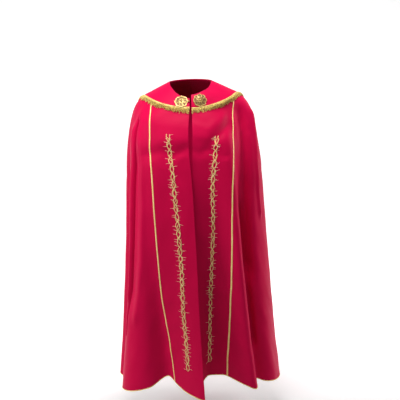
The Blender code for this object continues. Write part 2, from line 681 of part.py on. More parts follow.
def clasp_hook(seats, finish):
    """The flat hook that joins the rosettes' rims, with the tongue that hangs from it."""
    (right, right_out), (left, left_out) = seats
    along = (left - right) / np.linalg.norm(left - right)
    reach = ROSETTE_RADIUS * (1 + SCALLOP) + GAP
    ends = [centre + flat_in(along * hand, out) * reach for centre, out, hand in
            ((right, right_out, 1), (left, left_out, -1))]
    middle, along = (ends[0] + ends[1]) / 2, ends[1] - ends[0]
    half = np.linalg.norm(along) / 2
    along = along / half / 2
    out = flat_in(right_out + left_out, along)
    up = np.cross(out, along)
    high, wide = HOOK_HEIGHT / 2, TONGUE_WIDTH / 2
    lift = max(0.0, seat_height(middle, out, TONGUE_LENGTH))
    outline = ((-half, high), (-half, -high), (-wide, -high), (-wide / 2, -high - TONGUE_LENGTH),
               (wide / 2, -high - TONGUE_LENGTH), (wide, -high), (half, -high), (half, high))
    vertices = [middle + along * x + up * y + out * z for z in (lift + HOOK_THICK, lift) for x, y in outline]
    count = len(outline)
    cells = ((0, 1, 2), (0, 2, 5), (2, 3, 5), (3, 4, 5), (0, 5, 6), (0, 6, 7))
    faces = list(cells) + [tuple(count + i for i in cell[::-1]) for cell in cells]
    for a in range(count):
        b = (a + 1) % count
        faces += [(b, a, count + a), (b, count + a, count + b)]
    solid("clasp_hook", vertices, faces, finish)


def flat_in(direction, normal):
    """The direction laid in the plane across the normal, at length 1."""
    laid = direction - normal * (direction @ normal) / (normal @ normal)
    return laid / np.linalg.norm(laid)


def main():
    for old in list(bpy.data.objects):
        bpy.data.objects.remove(old)
    cloth = material("cloth_red", CLOTH_RED, CLOTH_ROUGHNESS)
    band = material("band_red", BAND_RED, CLOTH_ROUGHNESS)
    gold_braid = material("gold_braid", GOLD, BRAID_ROUGHNESS, BRAID_METALLIC)
    gold_metal = material("gold_metal", GOLD, CLASP_ROUGHNESS, CLASP_METALLIC)
    for side in ("right", "left"):
        mantle(side, cloth)
        front_band(side, band)
        band_braid(side, gold_braid)
        thorn_vine(side, gold_braid)
    shoulder_cape(cloth)
    fringe(gold_braid)
    hem_piping(gold_braid)
    clasp_hook([clasp_rosette(rosette, gold_metal) for rosette in ROSETTES], gold_metal)


main()
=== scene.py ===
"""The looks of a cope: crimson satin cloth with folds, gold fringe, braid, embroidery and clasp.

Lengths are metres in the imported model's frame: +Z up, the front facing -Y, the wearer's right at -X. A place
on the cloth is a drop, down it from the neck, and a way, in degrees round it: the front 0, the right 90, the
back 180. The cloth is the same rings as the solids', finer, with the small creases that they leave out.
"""
import json
import math
from collections import namedtuple

import bpy
import numpy as np
from mathutils import Matrix, Vector

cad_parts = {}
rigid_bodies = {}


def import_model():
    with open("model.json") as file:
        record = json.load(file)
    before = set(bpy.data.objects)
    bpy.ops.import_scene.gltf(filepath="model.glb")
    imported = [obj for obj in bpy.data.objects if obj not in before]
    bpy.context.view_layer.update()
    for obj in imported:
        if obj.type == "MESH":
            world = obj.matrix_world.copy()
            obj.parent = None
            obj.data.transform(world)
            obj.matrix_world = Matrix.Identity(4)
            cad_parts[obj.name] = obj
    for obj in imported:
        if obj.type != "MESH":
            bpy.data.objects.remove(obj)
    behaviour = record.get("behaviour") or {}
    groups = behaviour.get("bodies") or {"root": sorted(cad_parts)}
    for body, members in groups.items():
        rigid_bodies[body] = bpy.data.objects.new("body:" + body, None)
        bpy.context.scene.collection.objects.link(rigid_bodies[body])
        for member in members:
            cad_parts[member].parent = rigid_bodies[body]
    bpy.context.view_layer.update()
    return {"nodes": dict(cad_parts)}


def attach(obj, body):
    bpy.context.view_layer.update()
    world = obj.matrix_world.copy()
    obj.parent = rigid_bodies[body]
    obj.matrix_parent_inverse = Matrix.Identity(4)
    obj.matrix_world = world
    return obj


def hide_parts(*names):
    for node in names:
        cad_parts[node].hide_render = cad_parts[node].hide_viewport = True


for old in list(bpy.data.objects):
    bpy.data.objects.remove(old)
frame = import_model()


def table(fields, *rows):
    """Rows with named values."""
    row_type = namedtuple("Row", fields)
    return [row_type(*row) for row in rows]


def millimetres(fields, *rows):
    """Rows of lengths that are given in millimetres."""
    return table(fields, *[[v if isinstance(v, str) else v / 1000 for v in row] for row in rows])


# ---- sizes shared with the solids

WALL, GAP = 0.0016, 0.0003
BRAID_THICK = 0.001
CAPE_LIFT = 2 * GAP + BRAID_THICK
HEADER_LIFT = CAPE_LIFT + WALL + 0.0004
HEADER_WIDTH, HEADER_THICK = 0.008, 0.0015
PIPING, PIPING_GAP = 0.0034, 0.0008
SHOULDER_DROP, CHEST_DROP, WAIST_DROP, HEM_DROP = 0.205, 0.318, 0.65, 1.432
FOLDS_START, LIFT_START = 0.11, 0.75
FOLD_SOFTNESS = 3.0  # degrees
NECK_DIP_POWER = 1.4
BACK = 180.0
STAND_RISE, STAND_OUT, STAND_END = 0.014, 0.004, 0.13  # the wearer's left side stands up at the neck
STAND_START_WAY, STAND_FULL_WAY = 295.0, 335.0
BAND_STOPS = millimetres(
    "drop right left", (0, 105, 105), (90, 175, 189), (150, 169, 193), (220, 162, 190), (360, 162, 175),
    (500, 165, 167), (650, 167, 170), (1000, 168, 172), (1200, 166, 177))
# The cloth's outline at each level and the places of its right and left front edges.
SECTIONS = millimetres(
    "drop z_front z_side z_back half_width front back corner right_x left_x name",
    (0, -31, 36, 44, 87.5, 92, 72, 0, -4, 2, "neck"),
    (75, -56, 4, 10, 155, 112, 105, 0, -5, 2, "yoke"),
    (147, -95, -31, -40, 218, 128, 135, 5, -8, 3, "shoulder"),
    (213, -150, -88, -100, 252, 152, 152, 12, -13, 3, "upper_arm"),
    (318, -235, -190, -200, 277, 168, 165, 20, -14, 0, "chest"),
    (459, -360, -330, -335, 294, 174, 172, 26, -6.5, -5, "elbow"),
    (650, -535, -520, -525, 304, 179, 180, 28, -1, -13, "waist"),
    (830, -710, -700, -705, 316, 185, 192, 28, 3, -16, "hip"),
    (1030, -905, -900, -905, 330, 195, 210, 28, 5, -19, "thigh"),
    (1230, -1100, -1100, -1110, 345, 210, 232, 28, 10, -22, "knee"),
    (1432, -1300, -1322, -1335, 368, 235, 262, 28, 17, -27, "hem"))
# Where each fold runs, in degrees, how far it stands out at each level and rises at the hem, in millimetres.
# Those before the back's 180 degrees are on the wearer's right.
FOLDS = table(
    "name chest_way hem_way shoulder chest waist hem lift",
    ("lap_end", -12, -12, 3, 3, 12, 26, 0),
    ("lap_edge", -3, -3, 4, 3, 10, 17, 0),
    ("band", 10, 9, 5, 2, 4, -26, 14),
    ("seam", 24, 18, 3, -1, -8, -64, 40),
    ("valley", 38, 26, 0, -1, -9, -86, 72),
    ("front", 48, 39, -4, 2, 5, -34, 34),
    ("arm_ridge", 56, 62, -7, -1, 7, 6, 12),
    ("turn", 64, 72, -9, -8, -10, 2, 8),
    ("ditch", 76, 83, -8, -14, -48, -54, 8),
    ("side", 94, 96, 0, 0, 3, 20, 22),
    ("back_dip", 114, 116, -2, -4, -26, -60, 16),
    ("back_out", 133, 133, 1, 2, 6, 16, 0),
    ("back_in", 152, 150, -2, -4, -28, -62, 12),
    ("spine", 168, 167, 1, 2, 6, 14, 0),
    ("centre_dip", 182, 183, -2, -4, -22, -50, 10),
    ("spine", 197, 199, 1, 2, 7, 16, 0),
    ("back_in", 212, 215, -2, -4, -28, -64, 14),
    ("back_out", 228, 231, 1, 2, 5, 14, 0),
    ("back_dip", 246, 247, -2, -4, -24, -56, 14),
    ("side", 266, 266, 2, 2, 6, 6, 0),
    ("rear", 280, 280, 4, -2, -8, -8, 4),
    ("flute", 296, 294, -12, -15, -30, -22, 14),
    ("flank", 308, 302, -26, -30, -48, -48, 18),
    ("ditch", 318, 310, -30, -34, -74, -94, 30),
    ("ridge", 327.5, 318, -15, -2, 9, -14, 15),
    ("front", 337, 326.5, -2, -1, -12, -52, 30),
    ("seam", 345.5, 341, 3, -3, -26, -112, 54),
    ("band", 354, 353, 3, -2, -20, -108, 54),
    ("under_edge", 361, 363, 2, -3, -14, -56, 10),
    ("under_end", 372, 374, 2, -3, -14, -30, 0))
# The drop of the cape's fringe header on each side, by the way from the front.
CAPE_STOPS = table(
    "way right left", (0, 0.094, 0.103), (22, 0.098, 0.103), (70, 0.108, 0.108), (92, 0.124, 0.124),
    (115, 0.168, 0.168), (145, 0.24, 0.24), (168, 0.281, 0.281), (180, 0.285, 0.285))

# ---- sizes of the finer cloth

SIDES = ("right", "left")
HAND = {"right": 1, "left": -1}  # the way from a front edge to the back grows or falls
FINE = 1
DROPS = np.linspace(0.0, HEM_DROP, 360)
WAYS = np.linspace(-15.0, 375.0, 1951)
WAY_STEP = WAYS[1] - WAYS[0]
# Each small crease: its width, how far it stands out or sinks in, and its line of ways and drops. The lengths
# are in millimetres.
CREASES = table(
    "name width out line",
    ("arm_slope", 42, -20, ((58, 260), (54, 400), (53, 560), (55, 830), (57, 1000), (60, 1120))),
    ("arm_tuck", 6, -34, ((59, 200), (57, 340), (56, 450), (56.4, 560), (57.2, 690), (58.3, 830),
     (60.2, 950), (61.8, 1060), (63.2, 1200))),
    ("arm_ridge", 16, 5, ((51, 220), (45, 400), (44, 560), (45, 830), (48, 970), (52, 1150))),
    ("arm_outer", 14, 8, ((66, 220), (60, 400), (60, 600), (61, 830), (64, 1050))),
    ("chest_trough", 26, -6.4, ((56, 360), (40, 352), (27, 328), (16, 342), (6, 314), (-14, 285))),
    ("shoulder_brow", 45, 6, ((70, 215), (56, 200), (42, 205), (30, 225))),
    ("chest_brow", 30, 3.5, ((38, 285), (24, 262), (10, 268), (-14, 230))),
    ("chest_fold", 16, 2, ((33, 385), (26, 402), (18, 420))),
    ("chest_streak", 12, 2, ((17, 378), (13.6, 363), (3, 332))),
    ("chest_tuck", 10, -1.6, ((18, 350), (10, 330), (4, 312))),
    ("edge_streak", 13, 1.5, ((12, 430), (5.6, 402), (2, 388))),
    ("edge_pull", 14, 1.2, ((7, 450), (4.5, 500), (3, 600))),
    ("seam_dent", 8, 1.4, ((37, 225), (34, 236), (31, 240))),
    ("chest_diagonal", 18, -6.5, ((316, 205), (327, 232), (339, 266), (349, 305))),
    ("chest_brow", 18, 4, ((314, 165), (326, 180), (338, 205), (350, 238))),
    ("edge_brow", 26, 3.5, ((338, 290), (350, 256), (374, 240))),
    ("chest_trough", 22, -5, ((326, 372), (336, 356), (345, 318), (354, 334), (374, 285))),
    ("dimple_upper", 8, 1.6, ((327, 335), (332, 338), (338, 334))),
    ("dimple_dark", 6.5, -3.6, ((326, 358), (332.4, 358), (338.5, 352))),
    ("dimple_lower", 10, 3.4, ((326, 378), (332.8, 380), (338, 374))),
    ("edge_dent", 10, 1.6, ((350, 335), (354, 327), (357, 330))),
    ("pucker_1", 9, 1.5, ((341, 478), (337, 484), (333.5, 478))),
    ("pucker_2", 8, -1.5, ((341, 500), (337, 503), (333, 498))),
    ("pucker_3", 9, 1.4, ((340, 520), (336, 521), (332.5, 516))),
    ("pucker_4", 9, -1, ((340, 560), (336, 556), (332, 560))),
    ("pucker_5", 10, 1.2, ((339, 605), (335, 602), (331.5, 596))),
    ("pucker_6", 10, 0.9, ((338, 680), (334, 674), (330.5, 680))),
    ("arm_hollow", 31, -27, ((298, 120), (302.5, 280), (308, 400), (310, 580), (311, 780), (310.5, 1000))),
    ("arm_ridge", 13, 8, ((279, 180), (286, 290), (291, 420), (290, 560), (287, 700))),
    ("ridge_shadow", 13, -20, ((317, 580), (315, 700), (313.2, 860), (311.7, 1000), (310, 1150),
     (308.8, 1300))),
    ("hem_ripple", 20, 1.4, ((16, 1000), (24, 1020), (33, 1010))),
    ("hem_streak", 18, 1.6, ((13, 1120), (22, 1150), (30, 1170))),
    ("hem_pull", 18, 2, ((20, 1240), (25, 1330), (27, 1400))),
    ("back_pull", 16, 3, ((120, 200), (128, 340), (133, 600))),
    ("back_tuck", 12, -4, ((160, 320), (154, 480), (152, 720))),
    ("back_centre_streak", 18, 2, ((176, 360), (184, 460), (188, 600))),
    ("back_pull", 16, 3, ((242, 200), (233, 360), (228, 620))),
    ("back_tuck", 12, -4, ((203, 340), (208, 500), (211, 760))),
    ("elbow_tuck", 10, -3.5, ((262, 420), (270, 500), (276, 640))),
    ("elbow_tuck", 10, -3.5, ((101, 400), (93, 500), (88, 660))))
CREASE_END, WIDE_END = 0.045, 4.0  # over this length a crease fades out, or this many times its width
# The cloth's slight unevenness: waves round and down it, their heights in millimetres.
WAVES = table(
    "round_length down_length phase height", (0.143, 0.31, 0.4, 0.4), (0.087, -0.42, 1.9, 0.28),
    (0.211, 0.147, 3.1, 0.3), (0.059, 0.27, 5.2, 0.16))
WAVES_START, WAVES_FULL = 0.05, 0.15


# ---- curves and lines

def smooth(t):
    """From 0 to 1 with level ends."""
    t = np.clip(t, 0, 1)
    return t * t * (3 - 2 * t)


def curve(xs, ys, x):
    """The value at x of a smooth curve through the points (xs, ys) that never overshoots them."""
    xs, ys = np.asarray(xs, float), np.asarray(ys, float)
    steps = np.diff(xs)
    grades = np.diff(ys) / steps
    slopes = np.zeros_like(ys)
    slopes[0], slopes[-1] = grades[0], grades[-1]
    for i in range(1, len(xs) - 1):
        if grades[i - 1] * grades[i] > 0:
            ahead, behind = 2 * steps[i] + steps[i - 1], steps[i] + 2 * steps[i - 1]
            slopes[i] = (ahead + behind) / (ahead / grades[i - 1] + behind / grades[i])
    x = np.clip(x, xs[0], xs[-1])
    i = np.clip(np.searchsorted(xs, x, side="right") - 1, 0, len(xs) - 2)
    step = xs[i + 1] - xs[i]
    t = (x - xs[i]) / step
    return ((1 + 2 * t) * (1 - t) ** 2 * ys[i] + t * (1 - t) ** 2 * step * slopes[i]
            + t * t * (3 - 2 * t) * ys[i + 1] + t * t * (t - 1) * step * slopes[i + 1])


def soften(values, step):
    """The values with their corners rounded by a bell as wide as FOLD_SOFTNESS."""
    reach = int(3 * FOLD_SOFTNESS / step)
    bell = np.exp(-0.5 * (np.arange(-reach, reach + 1) * step / FOLD_SOFTNESS) ** 2)
    return np.convolve(np.pad(values, reach, mode="edge"), bell / bell.sum(), mode="valid")


def column(rows, name):
    return np.array([getattr(row, name) for row in rows], float)


def stop_value(stops, name, x):
    """A value between its stops, which lie where their first value says."""
    return curve(column(stops, stops[0]._fields[0]), column(stops, name), x)


def turns(count):
    """This many angles, evenly round a full turn."""
    return 2 * math.pi * np.arange(count) / count


def units(vectors):
    """The vectors at length 1."""
    return vectors / np.linalg.norm(vectors, axis=-1, keepdims=True)


def lengths(points):
    """The distance along a line of points, or along each of several, to every point."""
    steps = np.linalg.norm(np.diff(points, axis=-2), axis=-1)
    return np.concatenate([np.zeros((*steps.shape[:-1], 1)), np.cumsum(steps, axis=-1)], axis=-1)


def evenly(values, points, pitch):
    """The values at this pitch along their line of points, and the line's length."""
    run = lengths(points)
    return np.interp(np.linspace(0, run[-1], round(run[-1] / (pitch * FINE)) + 1), run, values), run[-1]


# ---- the cloth as a surface

def fold_way(fold, drop):
    """Where a fold line runs at this drop."""
    grown = np.clip((drop - CHEST_DROP) / (HEM_DROP - CHEST_DROP), 0, 1) ** 1.5
    return fold.chest_way + (fold.hem_way - fold.chest_way) * grown


def ring(drop):
    """The cloth's outer line at this drop, a point for each of WAYS."""
    names = SECTIONS[0]._fields[1:8]
    z_front, z_side, z_back, half, front, back, corner = [stop_value(SECTIONS, name, drop) for name in names]
    angle = np.radians(WAYS)
    sine, cosine = np.sin(angle), np.cos(angle)
    depth = np.where(cosine > 0, front, back)
    x, y = -half * sine, -depth * cosine
    out_x, out_y = x / half ** 2, y / depth ** 2
    length = np.hypot(out_x, out_y)
    before, behind = np.clip(cosine, 0, 1) ** NECK_DIP_POWER, np.clip(-cosine, 0, 1) ** NECK_DIP_POWER
    stand = 1 - smooth(drop / STAND_END)
    stand = stand * smooth((WAYS - STAND_START_WAY) / (STAND_FULL_WAY - STAND_START_WAY))
    z = z_side + (z_front - z_side) * before + (z_back - z_side) * behind + STAND_RISE * stand

    ways = [fold_way(fold, drop) for fold in FOLDS]
    levels = (FOLDS_START, SHOULDER_DROP, CHEST_DROP, WAIST_DROP, HEM_DROP)
    outs = [float(curve(levels, (0, f.shoulder, f.chest, f.waist, f.hem), drop)) / 1000 for f in FOLDS]
    lift = float(smooth((drop - LIFT_START) / (HEM_DROP - LIFT_START))) / 1000
    out = corner * np.sin(2 * angle) ** 2 + STAND_OUT * stand
    out = out + soften(curve(ways, outs, WAYS), WAY_STEP)
    z = z + curve(ways, [f.lift * lift for f in FOLDS], WAYS)
    return np.stack([x + out_x / length * out, y + out_y / length * out, z], axis=1)


def normals_of(points):
    """Outward normals of a grid of points that runs down and round."""
    return units(np.cross(np.gradient(points, axis=1), np.gradient(points, axis=0)))


def crease_steps(line, pace):
    """Each step of a crease: its start, how far it goes round and down in metres, and its length."""
    for (way, drop), (next_way, next_drop) in zip(line, line[1:]):
        turn = (next_way - way) * float(np.interp((drop + next_drop) / 2, DROPS, pace[:, 0]))
        fall = next_drop - drop
        yield way, drop, turn, fall, math.hypot(turn, fall)


def crease_heights(points):
    """How far the small creases and the cloth's unevenness stand out, for each drop and way."""
    way, drop = np.meshgrid(WAYS, DROPS)
    pace = np.linalg.norm(np.diff(points, axis=1), axis=2).mean(axis=1) / WAY_STEP
    pace = pace[:, None]  # metres for each degree
    height = np.zeros_like(way)
    for crease in CREASES:
        width = crease.width / 1000
        steps = list(crease_steps([(way, drop / 1000) for way, drop in crease.line], pace))
        total = sum(step[-1] for step in steps)
        nearest, along, run = np.full_like(way, np.inf), np.zeros_like(way), 0.0
        for start_way, start_drop, turn, fall, length in steps:
            ahead, down = (way - start_way) * pace, drop - start_drop
            share = np.clip((ahead * turn + down * fall) / length ** 2, 0, 1)
            apart = np.hypot(ahead - share * turn, down - share * fall)
            closer = apart < nearest
            along = np.where(closer, run + share * length, along)
            nearest = np.where(closer, apart, nearest)
            run += length
        end = np.maximum(CREASE_END, np.minimum(WIDE_END * width, total / 3))
        fade = smooth(along / end) * smooth((total - along) / end)
        height += crease.out / 1000 * fade * np.exp(-(nearest / width) ** 2)
    around = (way - BACK) * pace
    start = smooth((drop - WAVES_START) / WAVES_FULL)
    for wave in WAVES:
        turn = 2 * math.pi * (around / wave.round_length + drop / wave.down_length) + wave.phase
        height += wave.height / 1000 * np.sin(turn) * start
    return height


POINTS = np.array([ring(drop) for drop in DROPS])
POINTS = POINTS + normals_of(POINTS) * crease_heights(POINTS)[:, :, None]
NORMALS = normals_of(POINTS)


def on_cloth(way, drop):
    """The points and outward normals at these ways and drops."""
    i = np.clip(drop / DROPS[1], 0, len(DROPS) - 1.001)
    j = np.clip((way - WAYS[0]) / WAY_STEP, 0, len(WAYS) - 1.001)
    i0, j0 = i.astype(int), j.astype(int)
    u, v = (i - i0)[..., None], (j - j0)[..., None]
    point, normal = [(1 - u) * (1 - v) * grid[i0, j0] + (1 - u) * v * grid[i0, j0 + 1]
                     + u * (1 - v) * grid[i0 + 1, j0] + u * v * grid[i0 + 1, j0 + 1]
                     for grid in (POINTS, NORMALS)]
    return point, units(normal)


def edge_way(side, drop):
    """Where a front edge hangs: the wearer's right front laps over the left."""
    x, half = stop_value(SECTIONS, f"{side}_x", drop), stop_value(SECTIONS, "half_width", drop)
    edge = -np.degrees(np.arcsin(x / half))
    return edge if side == "right" else 360.0 + edge


def ways_from_edge(side, share, extra):
    """At each of DROPS, the way this share of the band's width, and this much more, from the front edge."""
    found = []
    for drop, line, width in zip(DROPS, POINTS, BAND_WIDTHS[side]):
        run = lengths(line)
        edge = np.interp(edge_way(side, drop), WAYS, run)
        found.append(np.interp(edge + HAND[side] * (share * width + extra), run, WAYS))
    return np.array(found)


BAND_WIDTHS = {side: np.array([stop_value(BAND_STOPS, side, drop) for drop in DROPS]) for side in SIDES}
EDGE, MIDDLE, SEAM_INSIDE, SEAM, SEAM_OUTSIDE = [
    {side: ways_from_edge(side, share, extra) for side in SIDES}
    for share, extra in ((0, 0), (0.5, 0), (1, -GAP / 2), (1, 0), (1, GAP / 2))]


# ---- making meshes

SHARP_ANGLE = 50.0


def add_object(name, data):
    made = bpy.data.objects.new(name, data)
    bpy.context.scene.collection.objects.link(made)
    return made


class Bundle:
    """Parts of one mesh: vertices, arrays of faces and UVs in metres."""

    def __init__(self, *parts):
        self.vertices, self.faces, self.uvs, self.count = [], [], [], 0
        for part in parts:
            self.add(*part)

    def add(self, vertices, faces, uvs=None):
        self.faces += [polygon + self.count for polygon in faces]
        self.vertices.append(vertices)
        self.uvs.append(np.zeros((len(vertices), 2)) if uvs is None else uvs)
        self.count += len(vertices)

    def object(self, node, suffix, material, slot):
        """The parts as one object that rides on the root body and stands for this CAD node."""
        name = f"{node}_{suffix}"
        corners = np.concatenate([polygon.ravel() for polygon in self.faces])
        faces = [face for polygon in self.faces for face in polygon.tolist()]
        mesh = bpy.data.meshes.new(name)
        mesh.from_pydata(np.concatenate(self.vertices), [], faces)
        layer = mesh.uv_layers.new(name="metres")
        layer.data.foreach_set("uv", np.concatenate(self.uvs)[corners].ravel())
        mesh.materials.append(material)
        mesh.shade_smooth()
        mesh.set_sharp_from_angle(angle=math.radians(SHARP_ANGLE))
        made = add_object(name, mesh)
        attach(made, "root")
        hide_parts(node)
        return made


def outwards(vertices, faces):
    """The faces of closed solids, turned over if they face inwards."""
    volume = 0.0
    for polygon in faces:
        first = vertices[polygon[:, 0]]
        for k in range(1, polygon.shape[1] - 1):
            second, third = vertices[polygon[:, k]], vertices[polygon[:, k + 1]]
            volume += np.einsum("ij,ij->", first, np.cross(second, third))
    return faces if volume > 0 else [polygon[:, ::-1] for polygon in faces]


def quads(first, second):
    """The squares between closed lines of vertices."""
    return np.stack([first, np.roll(first, -1, -1), np.roll(second, -1, -1), second], -1).reshape(-1, 4)


def uv_grid(across, down):
    return np.stack(np.broadcast_arrays(across, down), -1).reshape(-1, 2)


def wall_faces(rows, columns):
    """The squares of a wall's two faces over a grid of points, and the vertices round its rim."""
    index = np.arange(rows * columns).reshape(rows, columns)
    corners = index[:-1, :-1], index[:-1, 1:], index[1:, 1:], index[1:, :-1]
    a, b, c, d = [corner.ravel() for corner in corners]
    rim = np.concatenate([index[0, :-1], index[:-1, -1], index[-1, :0:-1], index[:0:-1, 0]])
    return [np.stack([a, d, c, b], 1), np.stack([a, b, c, d], 1) + rows * columns], rim


def between_grids(outer, inner, across, down):
    """Vertices, faces and UVs of the closed solid between two grids of points."""
    faces, rim = wall_faces(*outer.shape[:2])
    faces.append(quads(rim, rim + outer.size // 3))
    vertices = np.concatenate([outer.reshape(-1, 3), inner.reshape(-1, 3)])
    return vertices, outwards(vertices, faces), np.concatenate([uv_grid(across, down)] * 2)


def tubes(line, across, up, wide, high, sides, swell=1.0, closed=False):
    """Vertices, faces and UVs of a tube round a line of points, or of tubes round several lines."""
    angle = turns(sides)
    wide, high = np.asarray(wide)[..., None], np.asarray(high)[..., None]
    x, y = (wide * np.cos(angle) * swell)[..., None], (high * np.sin(angle) * swell)[..., None]
    vertices = (line[..., None, :] + across[..., None, :] * x + up[..., None, :] * y).reshape(-1, 3)
    index = np.arange(len(vertices)).reshape(-1, line.shape[-2], sides)
    faces = [quads(index, np.roll(index, -1, axis=1)) if closed else quads(index[:, :-1], index[:, 1:])]
    if not closed:
        faces += [index[:, 0, ::-1], index[:, -1]]
    return vertices, outwards(vertices, faces), uv_grid(angle * wide, lengths(line)[..., None])


def stitches(line, normals, wide, high, sides):
    """Tubes that lie on the cloth."""
    along = units(np.gradient(line, axis=-2))
    return tubes(line, np.cross(along, normals), normals, wide, high, sides)


def wire(line, normals, radius, sides=6, swell=1.0, closed=True):
    """A round wire along these points."""
    along = units(np.roll(line, -1, 0) - np.roll(line, 1, 0) if closed else np.gradient(line, axis=0))
    side = units(np.cross(along, normals))
    return tubes(line, side, np.cross(side, along), radius, radius, sides, swell, closed)


def shell(node, points, normals, low, material, slot):
    """A thin wall with rounded edges over a grid of points."""
    count = points.shape[0] * points.shape[1]
    faces, rim = wall_faces(*points.shape[:2])
    outward = np.zeros_like(points)
    for edge, inside in ((0, 1), (-1, -2)):
        outward[edge] += units(points[edge] - points[inside])
        outward[:, edge] += units(points[:, edge] - points[:, inside])
    away = units(outward.reshape(-1, 3)[rim])
    high, half = low + WALL, WALL / 2
    flat, normal = points.reshape(-1, 3).copy(), normals.reshape(-1, 3)
    flat[rim] -= away * half
    vertices, lines = [flat + normal * high, flat + normal * low], [rim]
    for k, turn in enumerate(np.radians((45, 90, 135))):
        vertices.append(flat[rim] + away * half * math.sin(turn)
                        + normal[rim] * ((high + low) / 2 + half * math.cos(turn)))
        lines.append(2 * count + k * len(rim) + np.arange(len(rim)))
    lines.append(rim + count)
    faces += [quads(first, second) for first, second in zip(lines, lines[1:])]
    vertices = np.concatenate(vertices)

    middle = points.shape[1] // 2
    across = lengths(points)
    across -= across[:, middle:middle + 1]
    uv = uv_grid(across, lengths(points[:, middle])[:, None])
    part = vertices, outwards(vertices, faces), np.concatenate([uv, uv] + [uv[rim]] * 3)
    return Bundle(part).object(node, "cloth", material, slot)


# ---- materials

class Nodes:
    """A material under construction."""

    def __init__(self, name):
        self.material = bpy.data.materials.new(name)
        self.material.use_nodes = True
        self.tree = self.material.node_tree
        self.shader = self.tree.nodes["Principled BSDF"]

    def put(self, socket, value):
        if isinstance(value, bpy.types.NodeSocket):
            self.tree.links.new(value, socket)
        else:
            socket.default_value = value

    def add(self, kind, inputs=None, out=0, **settings):
        """One output of a new node."""
        node = self.tree.nodes.new(kind)
        for key, value in settings.items():
            setattr(node, key, value)
        for key, value in (inputs or {}).items():
            self.put(node.inputs[key], value)
        return node.outputs[out]

    def set(self, **values):
        for key, value in values.items():
            self.put(self.shader.inputs[key.replace("_", " ")], value)

    def math(self, operation, a, b):
        return self.add("ShaderNodeMath", {0: a, 1: b}, operation=operation)

    def total(self, *terms):
        """The sum of values times their shares."""
        found = [self.math("MULTIPLY", value, share) for value, share in terms]
        for term in found[1:]:
            found[0] = self.math("ADD", found[0], term)
        return found[0]

    def mix(self, share, dark, light):
        return self.add("ShaderNodeMix", {0: share, 6: (*dark, 1), 7: (*light, 1)}, 2, data_type="RGBA")

    def place(self):
        return self.add("ShaderNodeTexCoord", out="Object")

    def uv(self, scale_u, scale_v):
        """The UVs, in metres, times these scales."""
        found = self.add("ShaderNodeUVMap", uv_map="metres")
        return self.add("ShaderNodeMapping", {0: found, 3: (scale_u, scale_v, 1)})

    def noise(self, place, scale, detail):
        return self.add("ShaderNodeTexNoise", {"Vector": place, "Scale": scale, "Detail": detail})

    def wave(self, scale, distortion, direction, **inputs):
        inputs = {"Vector": self.uv(1, 1), "Scale": scale, "Distortion": distortion, **inputs}
        return self.add("ShaderNodeTexWave", inputs, 1, bands_direction=direction)

    def bump(self, height, strength, distance, **under):
        inputs = {"Height": height, "Strength": strength, "Distance": distance, **under}
        return self.add("ShaderNodeBump", inputs)


def satin(name, light, dark):
    """Satin-weave cloth: fine diagonal floats, slubs along the weft and a soft pink sheen."""
    made = Nodes(name)
    cloudy = made.noise(made.place(), 7.0, 3.0)
    slub = made.noise(made.uv(60, 900), 1.0, 4.0)
    floats = made.wave(260.0, 0.6, "DIAGONAL", **{"Detail": 1.0, "Detail Scale": 2.0})
    threads = made.wave(420.0, 0.4, "X")
    tone = made.total((cloudy, 0.55), (slub, 0.35), (floats, 0.12))
    made.set(Base_Color=made.mix(tone, dark, light), Roughness=0.46, Specular_IOR_Level=0.05)
    made.set(Sheen_Weight=0.2, Sheen_Roughness=0.4, Sheen_Tint=(1.0, 0.06, 0.22, 1))
    weave = made.bump(made.math("ADD", floats, made.total((threads, 0.6))), 0.35, 0.00008)
    made.set(Normal=made.bump(slub, 0.3, 0.00025, Normal=weave))
    return made.material


def gold_cloth(name, light, dark, roughness=0.45, metallic=0.12, blotch=60.0, contrast=1.0, sheen=0.0):
    """Metallic thread: short bright and dark strokes along the thread, in blotches."""
    made = Nodes(name)
    strokes = made.noise(made.uv(900.0, 225.0), 1.0, 3.0)
    patches = made.noise(made.place(), blotch, 2.0)
    tone = made.math("SUBTRACT", made.total((strokes, 0.45), (patches, 0.75)), 0.6)
    tone = made.math("ADD", made.total((tone, 2.2 * contrast)), 0.55)
    made.set(Base_Color=made.mix(tone, dark, light), Roughness=roughness, Metallic=metallic)
    made.set(Sheen_Weight=sheen, Sheen_Roughness=0.35, Sheen_Tint=(1.0, 0.92, 0.66, 1))
    made.set(Normal=made.bump(strokes, 0.4, 0.0002))
    return made.material


def plain(name, colour, roughness, metallic=0.0):
    """One colour with darker patches."""
    made = Nodes(name)
    colours = made.mix(made.noise(made.place(), 120.0, 3.0), [0.55 * c for c in colour], colour)
    made.set(Base_Color=colours, Roughness=roughness, Metallic=metallic)
    return made.material


CLOTH = satin("crimson_satin", (0.66, 0.003, 0.066), (0.52, 0.002, 0.046))
BAND_CLOTH = satin("crimson_band_satin", (0.62, 0.003, 0.062), (0.49, 0.002, 0.043))
GOLD_FRINGE = gold_cloth("gold_fringe", (1.0, 0.78, 0.22), (0.2, 0.09, 0.02), blotch=260.0, contrast=1.7)
GOLD_CORD = gold_cloth("gold_bright_cord", (1.0, 0.86, 0.34), (0.72, 0.46, 0.1))
GOLD_BRAID = gold_cloth("gold_pale_braid", (1.0, 0.84, 0.36), (0.88, 0.6, 0.17))
GOLD_STITCH = gold_cloth("gold_satin_stitch", (1.0, 0.84, 0.4), (0.72, 0.38, 0.1), 0.38, 0.06, blotch=240.0,
                         contrast=1.5, sheen=0.7)
GOLD_THORN = gold_cloth("gold_thorn_stitch", (1.0, 0.8, 0.54), (0.92, 0.62, 0.38), 0.38, 0.06, sheen=0.7)
GOLD_METAL = plain("gold_filigree", (0.74, 0.5, 0.17), 0.36, 0.45)
